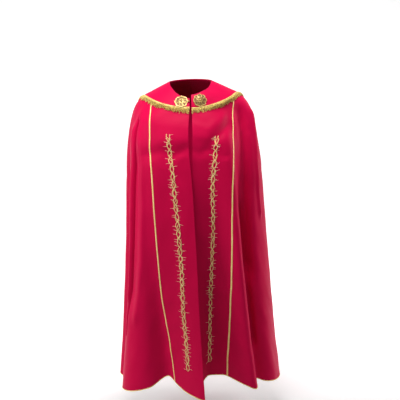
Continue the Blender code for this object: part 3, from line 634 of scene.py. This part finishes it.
# Dark red-brown painted shade: the shadow on the cloth seen through the rosettes' openwork.
ROSETTE_PAINTED_SHADE = plain("rosette_lining", (0.13, 0.02, 0.018), 0.75)


# ---- the cloth's panels

# Pitches of the panels' rows and columns, and a band's width. Cut flat, a mantle half is a wedge, and the cape
# a horseshoe.
ROW_PITCH, BAND_PITCH, BAND_WIDTH = 0.0095, 0.0036, 0.171
FRONT_PITCH, REAR_PITCH = 0.0042, 0.0085  # between a mantle half's columns, along the hem
LEAST_COLUMN = 4.0  # degrees from a seam to a fold, and from fold to fold
TUCK_FOLD, TUCK_PITCH = "arm_ridge", 0.0018  # the fold that runs along the deep tuck
TUCK = next(crease for crease in CREASES if crease.name == "arm_tuck")
CAPE_ROWS, CAPE_COLUMNS = 40, 200
CAPE_ENDS = [np.interp(0.1, DROPS, EDGE[side]) for side in SIDES]
PROBE = 0.01  # a short step down the cloth, to measure it by


def panel(node, columns, material, slot):
    """A hanging panel through these columns, each given by its ways at DROPS."""
    drops = np.linspace(0, HEM_DROP, round(HEM_DROP / (ROW_PITCH * FINE)) + 1)
    ways = np.stack([np.interp(drops, DROPS, column) for column in columns], axis=1)
    return shell(node, *on_cloth(ways, drops[:, None]), -WALL, material, slot)


def between(start, end, pitch):
    """Fine columns' ways from one fold's column to the next."""
    inside = (WAYS >= min(start[-1], end[-1])) & (WAYS <= max(start[-1], end[-1]))
    run = lengths(POINTS[-1][inside])[-1]
    pitch = pitch if abs((start[-1] + end[-1]) / 2 - BACK) > 90 else REAR_PITCH
    count = max(2, round(run / (pitch * FINE)))
    return [start + (end - start) * k / count for k in range(1, count + 1)]


def column_line(fold):
    """A fold's way at each of DROPS, or the deep tuck's for the fold beside it."""
    if fold.name == TUCK_FOLD:
        return np.interp(DROPS, [drop / 1000 for _, drop in TUCK.line], [way for way, _ in TUCK.line])
    return np.array([fold_way(fold, drop) for drop in DROPS])


def mantle(side):
    """Half of the cloak's body, with its columns along its folds."""
    turn, seam = HAND[side], SEAM_OUTSIDE[side]
    columns, pitch = [seam], FRONT_PITCH
    folds = [f for f in FOLDS if min((f.hem_way - seam[-1]) * turn, (BACK - f.hem_way) * turn) > LEAST_COLUMN]
    for i, fold in enumerate(folds[::turn], 1):
        least = seam + turn * LEAST_COLUMN * i
        columns += between(columns[-1], turn * np.maximum(turn * column_line(fold), turn * least), pitch)
        pitch = TUCK_PITCH if fold.name == TUCK_FOLD else FRONT_PITCH
    columns += between(columns[-1], np.full(len(DROPS), BACK), FRONT_PITCH)
    return panel(f"mantle_{side}", columns, CLOTH, "cloth")


def front_band(side):
    """The straight band down one front."""
    shares = np.linspace(0, 1, round(BAND_WIDTH / (BAND_PITCH * FINE)) + 1)
    columns = [EDGE[side] * (1 - share) + SEAM_INSIDE[side] * share for share in shares]
    return panel(f"front_band_{side}", columns, BAND_CLOTH, "band_cloth")


def cape_way(share, drop):
    """The way at this share of the cape's width, from the wearer's right edge to the left one."""
    start, end = [np.interp(drop, DROPS, EDGE[side]) for side in SIDES]
    return start + (end - start) * share


def cape_line(share, fall):
    """The drop this far down the cloth from the header's top, at this share of the cape's width."""
    way = CAPE_ENDS[0] + (CAPE_ENDS[1] - CAPE_ENDS[0]) * share
    right, left = stop_value(CAPE_STOPS, "right", way), stop_value(CAPE_STOPS, "left", 360 - way)
    top = np.where(way < BACK, right, left)
    high, low = on_cloth(way, top)[0], on_cloth(way, top + PROBE)[0]
    return top + fall * PROBE / np.linalg.norm(low - high, axis=-1)


def shoulder_cape():
    """The cape over the shoulders, which deepens into a round hood at the back."""
    share = np.linspace(0, 1, CAPE_COLUMNS // FINE)
    drops = cape_line(share, HEADER_WIDTH) * np.linspace(0, 1, CAPE_ROWS // FINE)[:, None]
    return shell("shoulder_cape", *on_cloth(cape_way(share, drops), drops), CAPE_LIFT, CLOTH, "cloth")


# ---- cords, piping and braids

CORD_PITCH, CORD_SIDES, CORD_TWIST, CORD_LOBE = 0.0013, 10, 0.0085, 0.2
BRAID_HALF = 0.0027  # half the woven width, a little inside its solid's
BRAID_PITCH, BRAID_COLUMNS, CHEVRON, CHEVRON_LEAN = 0.0012, 9, 0.0036, 1.1
BRAID_RIBS, BRAID_GROOVE, BRAID_EDGE = 0.35, 0.35, 0.15


def cord(line, normals, radius):
    """A round cord of twisted strands along these points."""
    turn = turns(CORD_SIDES) - 2 * math.pi * lengths(line)[:, None] / CORD_TWIST
    swell = 0.86 + CORD_LOBE * np.abs(np.cos(1.5 * turn))
    return wire(line, normals, radius, CORD_SIDES, swell, closed=False)


def hem_piping():
    """A twisted gold cord along the hem, from one front edge round to the other."""
    way = np.linspace(EDGE["right"][-1], EDGE["left"][-1], 4000)
    way, _ = evenly(way, on_cloth(way, HEM_DROP)[0], CORD_PITCH)
    edge, normals = on_cloth(way, HEM_DROP)
    down = units(edge - on_cloth(way, HEM_DROP - 2 * PROBE)[0])
    line = edge - normals * WALL / 2 + down * (PIPING_GAP * 0.5 + PIPING / 2)
    return Bundle(cord(line, normals, PIPING / 2)).object("hem_piping", "cord", GOLD_CORD, "gold_thread")


def band_lines(side, drop):
    """At this drop, the ways of a band's middle and seam, and the degrees for each metre between them."""
    middle, seam, width = [np.interp(drop, DROPS, line[side]) for line in (MIDDLE, SEAM, BAND_WIDTHS)]
    return middle, seam, (seam - middle) / (width / 2)


def band_braid(side):
    """A flat herringbone braid over a band's seam."""
    drops = np.linspace(0, HEM_DROP, round(HEM_DROP / (BRAID_PITCH * FINE)) + 1)[:, None]
    across = np.linspace(-1, 1, BRAID_COLUMNS)
    _, seam, pace = band_lines(side, drops)
    points, normals = on_cloth(seam + across * BRAID_HALF * pace, drops)
    ribs = np.abs((drops / CHEVRON + np.abs(across) * CHEVRON_LEAN) % 1 - 0.5) * 2
    dome = 1 - 0.65 * np.abs(across) ** 3
    groove = 1 - BRAID_GROOVE * np.exp(-(across / 0.12) ** 2)
    high = GAP + BRAID_THICK * (BRAID_EDGE + dome * groove * (1 - BRAID_RIBS + BRAID_RIBS * ribs))
    outer, inner = points + normals * high[..., None], points + normals * GAP * 0.3
    woven = Bundle(between_grids(outer, inner, across * BRAID_HALF, drops))
    return woven.object(f"band_braid_{side}", "woven", GOLD_BRAID, "gold_thread")


# ---- the cape's fringe

HEADER_PITCH, HEADER_ROWS = 0.0011, 10  # the woven header's points, round and down
LOOP_PITCH, LOOP_LEAN = 0.0052, 0.9  # of the header's raised loops
TOP_CORD_RADIUS, TOP_CORD_PLACE = 0.0013, (0.0006, HEADER_LIFT + HEADER_THICK * 0.7)
FRINGE_SEED = 11
STRAND_PITCH, STRAND_RADIUS, STRAND_STEPS, STRAND_SIDES = 0.0022, 0.0009, 8, 4
STRAND_SHORT, STRAND_LONG = 0.012, 0.0205
STRAND_TUCKED = 0.0012  # how far a strand starts up behind the header's edge
STAND_OFFS = (0.0, 0.0013)  # of the two layers of strands
TUFT = 0.0062  # strands cling together in tufts about this wide
SWAY, SWAY_LENGTH, BULGE = 0.001, 0.021, 0.0022


def even_shares(pitch):
    """Shares of the cape's width at this pitch along the header's lower edge, and its length."""
    share = np.linspace(0, 1, 1200)
    drop = cape_line(share, HEADER_WIDTH)
    return evenly(share, on_cloth(cape_way(share, drop), drop)[0], pitch)


def below_header(share, fall, lift):
    """Points this far below the header's top and this far off the cloth, and the normals there."""
    drop = cape_line(share, fall)
    point, normal = on_cloth(cape_way(share, drop), drop)
    return point + normal * np.asarray(lift)[..., None], normal


def header():
    """The woven header: raised loops that cross."""
    shares, run = even_shares(HEADER_PITCH)
    across, place = np.linspace(0, 1, HEADER_ROWS)[:, None], np.linspace(0, run, len(shares))
    loops = np.abs(np.sin(np.pi * (place / LOOP_PITCH + across * LOOP_LEAN)))
    cross = np.abs(np.sin(np.pi * (place / LOOP_PITCH - across * LOOP_LEAN) + 0.6))
    edge = np.sin(np.pi * np.clip(across, 0.02, 0.98)) ** 0.35
    fall = across * HEADER_WIDTH
    high = HEADER_LIFT + HEADER_THICK * edge * (0.35 + 0.55 * loops + 0.45 * cross)
    outer, inner = [below_header(shares, fall, lift)[0] for lift in (high, HEADER_LIFT)]
    return between_grids(outer, inner, place, fall)


def strands(layer, stand_off, rng):
    """One layer of strands in ragged tufts."""
    shares, run = even_shares(STRAND_PITCH)
    count, beside = len(shares), layer * STRAND_PITCH / 2
    place = np.linspace(0, run, count) + beside
    tuft = np.cumsum(rng.uniform(0.7, 1.45, int(run / TUFT * 1.3))) * TUFT
    which = np.abs(place[:, None] - tuft).argmin(axis=1)
    to_tuft = tuft[which] - place
    pull = np.clip(to_tuft, -TUFT, TUFT) * rng.uniform(0.35, 0.75, count)
    lean = (SWAY * np.sin(place / SWAY_LENGTH + layer) + rng.normal(0, 0.0004, count)
            + rng.normal(0, 0.0011, len(tuft))[which])
    length = (rng.uniform(STRAND_SHORT, STRAND_LONG, len(tuft))[which] + rng.normal(0, 0.0008, count)
              - 0.0035 * layer - 0.0015 * (np.abs(to_tuft) / TUFT))
    t = np.linspace(0, 1, STRAND_STEPS)
    fall = HEADER_WIDTH - STRAND_TUCKED + (length[:, None] + STRAND_TUCKED) * t
    curl = rng.normal(0, 0.00025, count)[:, None] * np.sin(6 * t)
    aside = pull[:, None] * t ** 0.8 + lean[:, None] * t ** 1.5 + curl
    share = np.clip(shares[:, None] + (aside + beside) / run, 0.0005, 0.9995)
    root, end = HEADER_LIFT + 0.0006, CAPE_LIFT + 0.001
    height = root + (end - root) * smooth(t * 1.4) + stand_off + BULGE * np.sin(np.pi * t ** 0.8)
    line, normals = below_header(share, fall, height)
    thick = STRAND_RADIUS * (1 - 0.3 * t) * rng.uniform(0.8, 1.15, count)[:, None]
    return stitches(line, normals, thick * FINE, thick, STRAND_SIDES)


def fringe():
    """Two layers of gold strands under the header, and a bright cord along its top edge."""
    rng = np.random.default_rng(FRINGE_SEED)
    hanging = Bundle(header(), *[strands(layer, off, rng) for layer, off in enumerate(STAND_OFFS)])
    top, normals = below_header(even_shares(CORD_PITCH)[0], *TOP_CORD_PLACE)
    top_cord = Bundle(cord(top, normals, TOP_CORD_RADIUS))
    return [hanging.object("fringe", "strands", GOLD_FRINGE, "gold_thread"),
            top_cord.object("fringe", "top_cord", GOLD_CORD, "gold_thread")]


# ---- the embroidered thorn vines

VINE_LOOP = 0.0365  # from one crossing of the two stems to the next
# How far a vine's middle lies from its band's, towards the seam, at each drop from its start to its end.
VINE_STOPS = {
    "right": millimetres(
        "drop aside", (242, 2), (350, -4), (480, -5), (700, -14.5), (1050, -12.5), (1332, -7.5)),
    "left": millimetres(
        "drop aside", (256, 7), (330, 4), (450, 1), (640, 5), (800, -2), (1070, -5), (1369, 10)),
}
VINE_SEEDS = {"right": 3, "left": 8}
# The stems: how wide and high, how far they swing from the middle, their crossings' pitch and their wander.
STEMS = table(
    "half high narrow wide loop start_turn wander",
    (0.0015, 0.0013, 0.0056, 0.0088, VINE_LOOP, 0.0, 0.0),
    (0.0015, 0.0013, 0.0056, 0.0088, VINE_LOOP, 1.0, 0.0),
    (0.0011, 0.0008, 0.003, 0.0075, VINE_LOOP * 0.73, 0.4, 0.0012))
STEM_SIDES, STEM_PITCH, STEM_LIFT = 8, 0.0014, 0.0011
FORK_START, FORK_LENGTH, FORK_HALF = 0.004, 0.012, 0.0062
LONG_THORN, SHORT_THORN = table(
    "shortest longest leans stray", (0.014, 0.02, (-0.25, -0.05, 0.05, 0.15, 0.45), 0.1),
    (0.0055, 0.0095, (-0.8, -0.3, 0.4, 0.9), 0.15))
NO_THORN, LONG_SHARE = 0.16, 0.55
THORN_GAP = (0.009, 0.017)
THORN_HALF, THORN_STEPS, THORN_SIDES, THORN_ROOT, THORN_DROOP = 0.00085, 7, 6, 0.0014, 0.0012


def on_band(side, across, drop, lift):
    """Points this far across the band from its vine's middle, towards the seam, with their normals."""
    middle, _, pace = band_lines(side, drop)
    across = across + stop_value(VINE_STOPS[side], "aside", drop)
    point, normal = on_cloth(middle + across * pace, drop)
    return point + normal * lift[..., None], normal


def vine_stem(start, end, stem, drop, rng, seed):
    """One stem's place across the band and its lift at these drops."""
    loops = round((end - start) / stem.loop)
    shift = np.random.default_rng(seed).uniform(-0.16, 0.16, loops + 1)
    crossings = start + (end - start) * (np.arange(loops + 1) + shift) / loops
    phase = np.interp(drop, crossings, np.arange(loops + 1)) + stem.start_turn
    swing = np.interp(phase, np.arange(loops + 3), rng.uniform(stem.narrow, stem.wide, loops + 3))
    turn = np.sin(np.pi * phase)
    across = swing * np.sign(turn) * np.abs(turn) ** 0.8
    across += 0.0014 * np.sin(drop / 0.061 + seed) + stem.wander * np.sin(drop / 0.017 + seed)
    # The stems part at the top like a fork instead of meeting.
    fork = smooth((drop - start - FORK_START) / FORK_LENGTH)
    across = across * fork + (1 - fork) * (FORK_HALF if stem.start_turn < 0.5 else -FORK_HALF)
    return across, STEM_LIFT + 0.0006 * np.cos(np.pi * phase)


def thorn(side, root, at, hand, kind, rng):
    """A thin thorn out of a stem."""
    long = rng.uniform(kind.shortest, kind.longest)
    lean = rng.choice(kind.leans) + rng.normal(0, kind.stray)
    at += rng.uniform(-0.002, 0.002)
    t = np.linspace(0, 1, THORN_STEPS)
    out = root + hand * (long * math.cos(lean) * t - THORN_ROOT)
    down = at - long * math.sin(lean) * t - THORN_DROOP * t * t
    line, normals = on_band(side, out, down, 0.0008 + 0.0003 * t)
    half = THORN_HALF * (1 - 0.7 * t) * (1.0 if kind is LONG_THORN else 0.8)
    return stitches(line, normals, half, 0.6 * half, THORN_SIDES)


def thorn_vine(side, seed):
    """Satin-stitched stems that twine down a band's middle, with long and short thorns to both hands."""
    rng = np.random.default_rng(seed)
    start, end = VINE_STOPS[side][0].drop, VINE_STOPS[side][-1].drop
    drop = np.arange(start, end, STEM_PITCH * FINE)
    stems, thorns, found = Bundle(), Bundle(), []
    for k, stem in enumerate(STEMS):
        thin = k == 2
        here = drop[(drop > start + 0.012) & (drop < end - 0.01)] if thin else drop
        across, lift = vine_stem(start, end, stem, here, rng, seed + thin)
        taper = smooth((here - here[0] + 0.002) / 0.004) * smooth((here[-1] - here + 0.001) / 0.01)
        taper = 0.3 + 0.7 * taper
        uneven = 1 + 0.14 * np.sin(here / 0.0042 + k) + 0.1 * np.sin(here / 0.011)
        line, normals = on_band(side, across, here, lift)
        stems.add(*stitches(line, normals, stem.half * taper * uneven, stem.high * taper, STEM_SIDES))
        found.append((here, across))

    at = start + 0.006
    while at < end - 0.004:
        for hand in (-1, 1):
            if rng.random() < NO_THORN:
                continue
            reach = [hand * float(np.interp(at, here, across)) for here, across in found[:2]]
            kind = LONG_THORN if rng.random() < LONG_SHARE else SHORT_THORN
            thorns.add(*thorn(side, hand * max(reach), at, hand, kind, rng))
        at += rng.uniform(*THORN_GAP)
    return [stems.object(f"thorn_vine_{side}", "stems", GOLD_STITCH, "gold_embroidery"),
            thorns.object(f"thorn_vine_{side}", "thorns", GOLD_THORN, "gold_embroidery")]


# ---- the clasp

ROSETTE_RADIUS, PETALS, SCALLOP = 0.0265, 8, 0.06
ROSETTES = {"right": (16.5, 0.051), "left": (344.8, 0.061)}  # the way and drop of each rosette's middle
HOOK_HEIGHT, HOOK_THICK = 0.0075, 0.0018
TONGUE_WIDTH, TONGUE_LENGTH = 0.0045, 0.02
RIM_WIRE, PETAL_WIRE, FINE_WIRE = 0.0012, 0.00095, 0.0007
GRAIN = 0.0011
# The plate behind the wires closes the middle, and under it a dark disc, painted shade for the shadow on the
# cloth, shows through the petals: the outer radius as a share of the rosette's, and the heights of the two
# faces.
PLATE, SHADE_SHEET, HOLE = (0.24, 0.0004, 0.0016), (0.95, 0.0002, 0.0009), 0.0003
BAR_WIRE, BAR_SPREAD, BAR_PAST, BAR_CROWN = 0.00115, 0.0022, 0.0015, 0.0002
EYE_HALF, EYE_HEIGHT = (0.0022, 0.0035), 0.0006
TONGUE_WIRE, TONGUE_TIP = 0.0009, 0.0016


def clasp_points(node):
    return np.array([frame["nodes"][node].matrix_world @ v.co for v in frame["nodes"][node].data.vertices])


def rosette_place(side):
    """A rosette's centre on its seat and the directions across, up and out of it, from its own solid."""
    points = clasp_points(f"clasp_rosette_{side}")
    _, out = on_cloth(*np.array(ROSETTES[side]))
    across = -units(np.cross(out, (0, 0, 1)))
    centre = points.mean(axis=0)
    return centre + out * float(((points - centre) @ out).min()), across, np.cross(out, across), out


def placed(place, x, y, height):
    """Points at these distances across, up and out of a place on the clasp."""
    base, across, up, out = place
    return base + np.outer(x, across) + np.outer(y, up) + np.outer(height, out)


def polar(radius, turn):
    return radius * np.cos(turn), radius * np.sin(turn)


def metal(place, x, y, height, radius, **shape):
    """A wire of the clasp."""
    return wire(placed(place, x, y, height), place[-1], radius, **shape)


def ball(place, x, y, height, radius, rings=5, sides=8):
    """A small ball, as a tube that swells and closes."""
    t = np.linspace(-0.96, 0.96, rings)
    radii = radius * np.sqrt(1 - t * t)
    return tubes(placed(place, x, y, height + radius * t), place[1], place[2], radii, radii, sides)


def washer(place, inner, outer, low, high, sides=64):
    """A flat ring."""
    corners = ((inner, low), (outer, low), (outer, high), (inner, high))
    rings = [placed(place, *polar(radius, turns(sides)), height) for radius, height in corners]
    index = np.arange(4 * sides).reshape(4, sides)
    return np.concatenate(rings), [quads(index, np.roll(index, -1, axis=0))]


def clasp_rosette(side):
    """A round openwork boss: a scalloped rim, looped petals, granules and a domed middle in a ring."""
    place, parts, lining, size = rosette_place(side), Bundle(), Bundle(), ROSETTE_RADIUS
    turn = turns(160)
    parts.add(*metal(place, *polar(size * (0.965 + SCALLOP * np.cos(PETALS * turn)), turn), 0.0016, RIM_WIRE))
    parts.add(*metal(place, *polar(size * 0.3, turn), 0.0046, PETAL_WIRE))
    t = turns(40)
    for heading in turns(PETALS):
        for grown, radius, lift in ((1.0, PETAL_WIRE, 0.0), (0.42, FINE_WIRE, 0.0006)):
            reach = size * (0.63 + 0.3 * grown * np.cos(t))
            swing = size * 0.225 * grown * np.sin(t) * (1 + 0.25 * np.cos(t))
            x = reach * math.cos(heading) - swing * math.sin(heading)
            y = reach * math.sin(heading) + swing * math.cos(heading)
            height = 0.003 + lift + 0.0016 * np.clip((0.62 - reach / size) / 0.3, -1, 1)
            parts.add(*metal(place, x, y, height, radius))
        parts.add(*ball(place, *polar(size * 0.83, heading + math.pi / PETALS), 0.0024, GRAIN))
    for heading in turns(PETALS) + math.pi / PETALS:
        parts.add(*ball(place, *polar(size * 0.215, heading), 0.0052, GRAIN * 0.9))
    parts.add(*ball(place, 0.0, 0.0, 0.0042, size * 0.14, rings=9, sides=20))
    # The gold plate, and under it a dark disc of painted shade that stands for the shadow on the cloth inside
    # the openwork.
    for bundle, (outer, low, high) in ((parts, PLATE), (lining, SHADE_SHEET)):
        bundle.add(*washer(place, HOLE, size * outer, low, high))
    parts.object(f"clasp_rosette_{side}", "filigree", GOLD_METAL, "gold_metal")
    lining.object(f"clasp_rosette_{side}", "lining", ROSETTE_PAINTED_SHADE, "cloth")


def clasp_hook():
    """The hook: a bar from rim to rim, the eye that it passes through and the tongue that hangs."""
    points = clasp_points("clasp_hook")
    left_top, left_low, *_, right_low, right_top = points[:8]  # the outline's corners on the outer face
    ends = (left_top + left_low) / 2, (right_top + right_low) / 2
    along, up = units(ends[1] - ends[0]), units(left_top - left_low)
    out = np.cross(along, up)
    out *= np.sign((left_top - points[8]) @ out)
    parts, place = Bundle(), ((ends[0] + ends[1]) / 2 - out * HOOK_THICK / 2, along, up, out)
    reach = np.linalg.norm(ends[1] - ends[0]) / 2 + BAR_PAST
    for y, height in ((-BAR_SPREAD, 0.0), (0.0, BAR_CROWN), (BAR_SPREAD, 0.0)):
        parts.add(*metal(place, np.linspace(-reach, reach, 13), y, height, BAR_WIRE, closed=False, sides=8))
    turn = turns(28)
    parts.add(*metal(place, EYE_HALF[0] * np.cos(turn), EYE_HALF[1] * np.sin(turn), EYE_HEIGHT, FINE_WIRE))
    t = np.linspace(0, 1, 12)
    hang, apart = -HOOK_HEIGHT / 2 - TONGUE_LENGTH * t, TONGUE_WIDTH / 2 * (0.65 - 0.35 * t)
    for x in (-apart, apart):
        parts.add(*metal(place, x, hang, 0.0, TONGUE_WIRE, closed=False))
    parts.add(*ball(place, 0.0, hang[-1], 0.0, TONGUE_TIP))
    parts.object("clasp_hook", "wire", GOLD_METAL, "gold_metal")


# ---- camera, light and floor

CAMERA_PLACE = (0.024, -2.6, 0.08)
CAMERA_TILT, CAMERA_ROLL = 12.08, 1.93  # degrees below the horizon, and about the view
CAMERA_LENS, SENSOR_WIDTH = 54.45, 36.0
LIGHTS = table(
    "name place target size power",
    ("overhead", (-0.08, -0.66, 1.25), (0.0, -0.15, -0.3), (0.9, 0.45), 34),
    ("front_right", (-1.7, -1.5, 0.5), (0, 0, -0.6), (0.9, 1.2), 11),
    ("side_right", (-2.3, -0.8, -0.4), (0, 0, -0.95), (0.7, 1.6), 26),
    ("side_left", (2.2, 0.5, 0.2), (0, 0, -0.6), (0.6, 1.8), 22),
    ("front_left", (2.3, -0.5, -0.2), (0, 0, -0.8), (0.6, 1.8), 8))
WORLD_STRENGTH = 0.05
FLOOR_Z, FLOOR_FRONT, FLOOR_DEPTH, FLOOR_HALF = -1.5, -7.0, 2.6, 9.0
BEND, BEND_STEPS, WALL_TOP = 1.2, 12, 7.0


def camera():
    data = bpy.data.cameras.new("camera")
    data.lens, data.sensor_width = CAMERA_LENS, SENSOR_WIDTH
    made = add_object("camera", data)
    tilt = Matrix.Rotation(math.radians(90 - CAMERA_TILT), 4, "X")
    roll = Matrix.Rotation(math.radians(-CAMERA_ROLL), 4, "Z")
    made.matrix_world = Matrix.Translation(CAMERA_PLACE) @ tilt @ roll
    bpy.context.scene.camera = made


def floor():
    """A white floor that sweeps up behind and glows there."""
    pale = Nodes("pale_floor")
    behind = pale.add("ShaderNodeSeparateXYZ", {0: pale.place()}, "Y")
    glow = pale.add("ShaderNodeMapRange", {0: behind, 1: -0.3, 2: 0.8, 3: 0.05, 4: 0.6})
    shade = pale.add("ShaderNodeMapRange", {0: behind, 1: -0.4, 2: 0.3, 3: 0.42, 4: 0.93})
    pale.set(Base_Color=shade, Roughness=0.9, Specular_IOR_Level=0.1)
    pale.set(Emission_Color=(1, 1, 1, 1), Emission_Strength=glow)
    bend = np.radians(np.linspace(0, 90, BEND_STEPS + 1))
    line = [(FLOOR_FRONT, FLOOR_Z)]
    line += [(FLOOR_DEPTH + BEND * math.sin(a), FLOOR_Z + BEND * (1 - math.cos(a))) for a in bend]
    line.append((FLOOR_DEPTH + BEND, FLOOR_Z + WALL_TOP))
    vertices = [(x, y, z) for y, z in line for x in (-FLOOR_HALF, FLOOR_HALF)]
    faces = [(k, k + 1, k + 3, k + 2) for k in range(0, 2 * len(line) - 2, 2)]
    mesh = bpy.data.meshes.new("floor")
    mesh.from_pydata(vertices, [], faces)
    mesh.materials.append(pale.material)
    mesh.shade_smooth()
    add_object("floor", mesh)


def studio():
    """The floor, and soft light from above and from both sides."""
    floor()
    for light in LIGHTS:
        data = bpy.data.lights.new(light.name, "AREA")
        data.shape, data.energy = "RECTANGLE", light.power
        data.size, data.size_y = light.size
        made = add_object(light.name, data)
        made.location = light.place
        towards = Vector(light.target) - Vector(light.place)
        made.rotation_euler = towards.to_track_quat("-Z", "Y").to_euler()
    world = bpy.data.worlds.new("studio")
    bpy.context.scene.world = world
    world.use_nodes = True
    background = world.node_tree.nodes["Background"]
    background.inputs[0].default_value = (1, 1, 1, 1)
    background.inputs[1].default_value = WORLD_STRENGTH
    bpy.context.scene.view_settings.view_transform = "Standard"


# ---- putting it together

camera()
studio()
piping = hem_piping()
for side in SIDES:
    mantle(side)
    band, sewn = front_band(side), [band_braid(side)]
    sewn += thorn_vine(side, VINE_SEEDS[side])
cape = shoulder_cape()
fringe()
for side in SIDES:
    clasp_rosette(side)
clasp_hook()
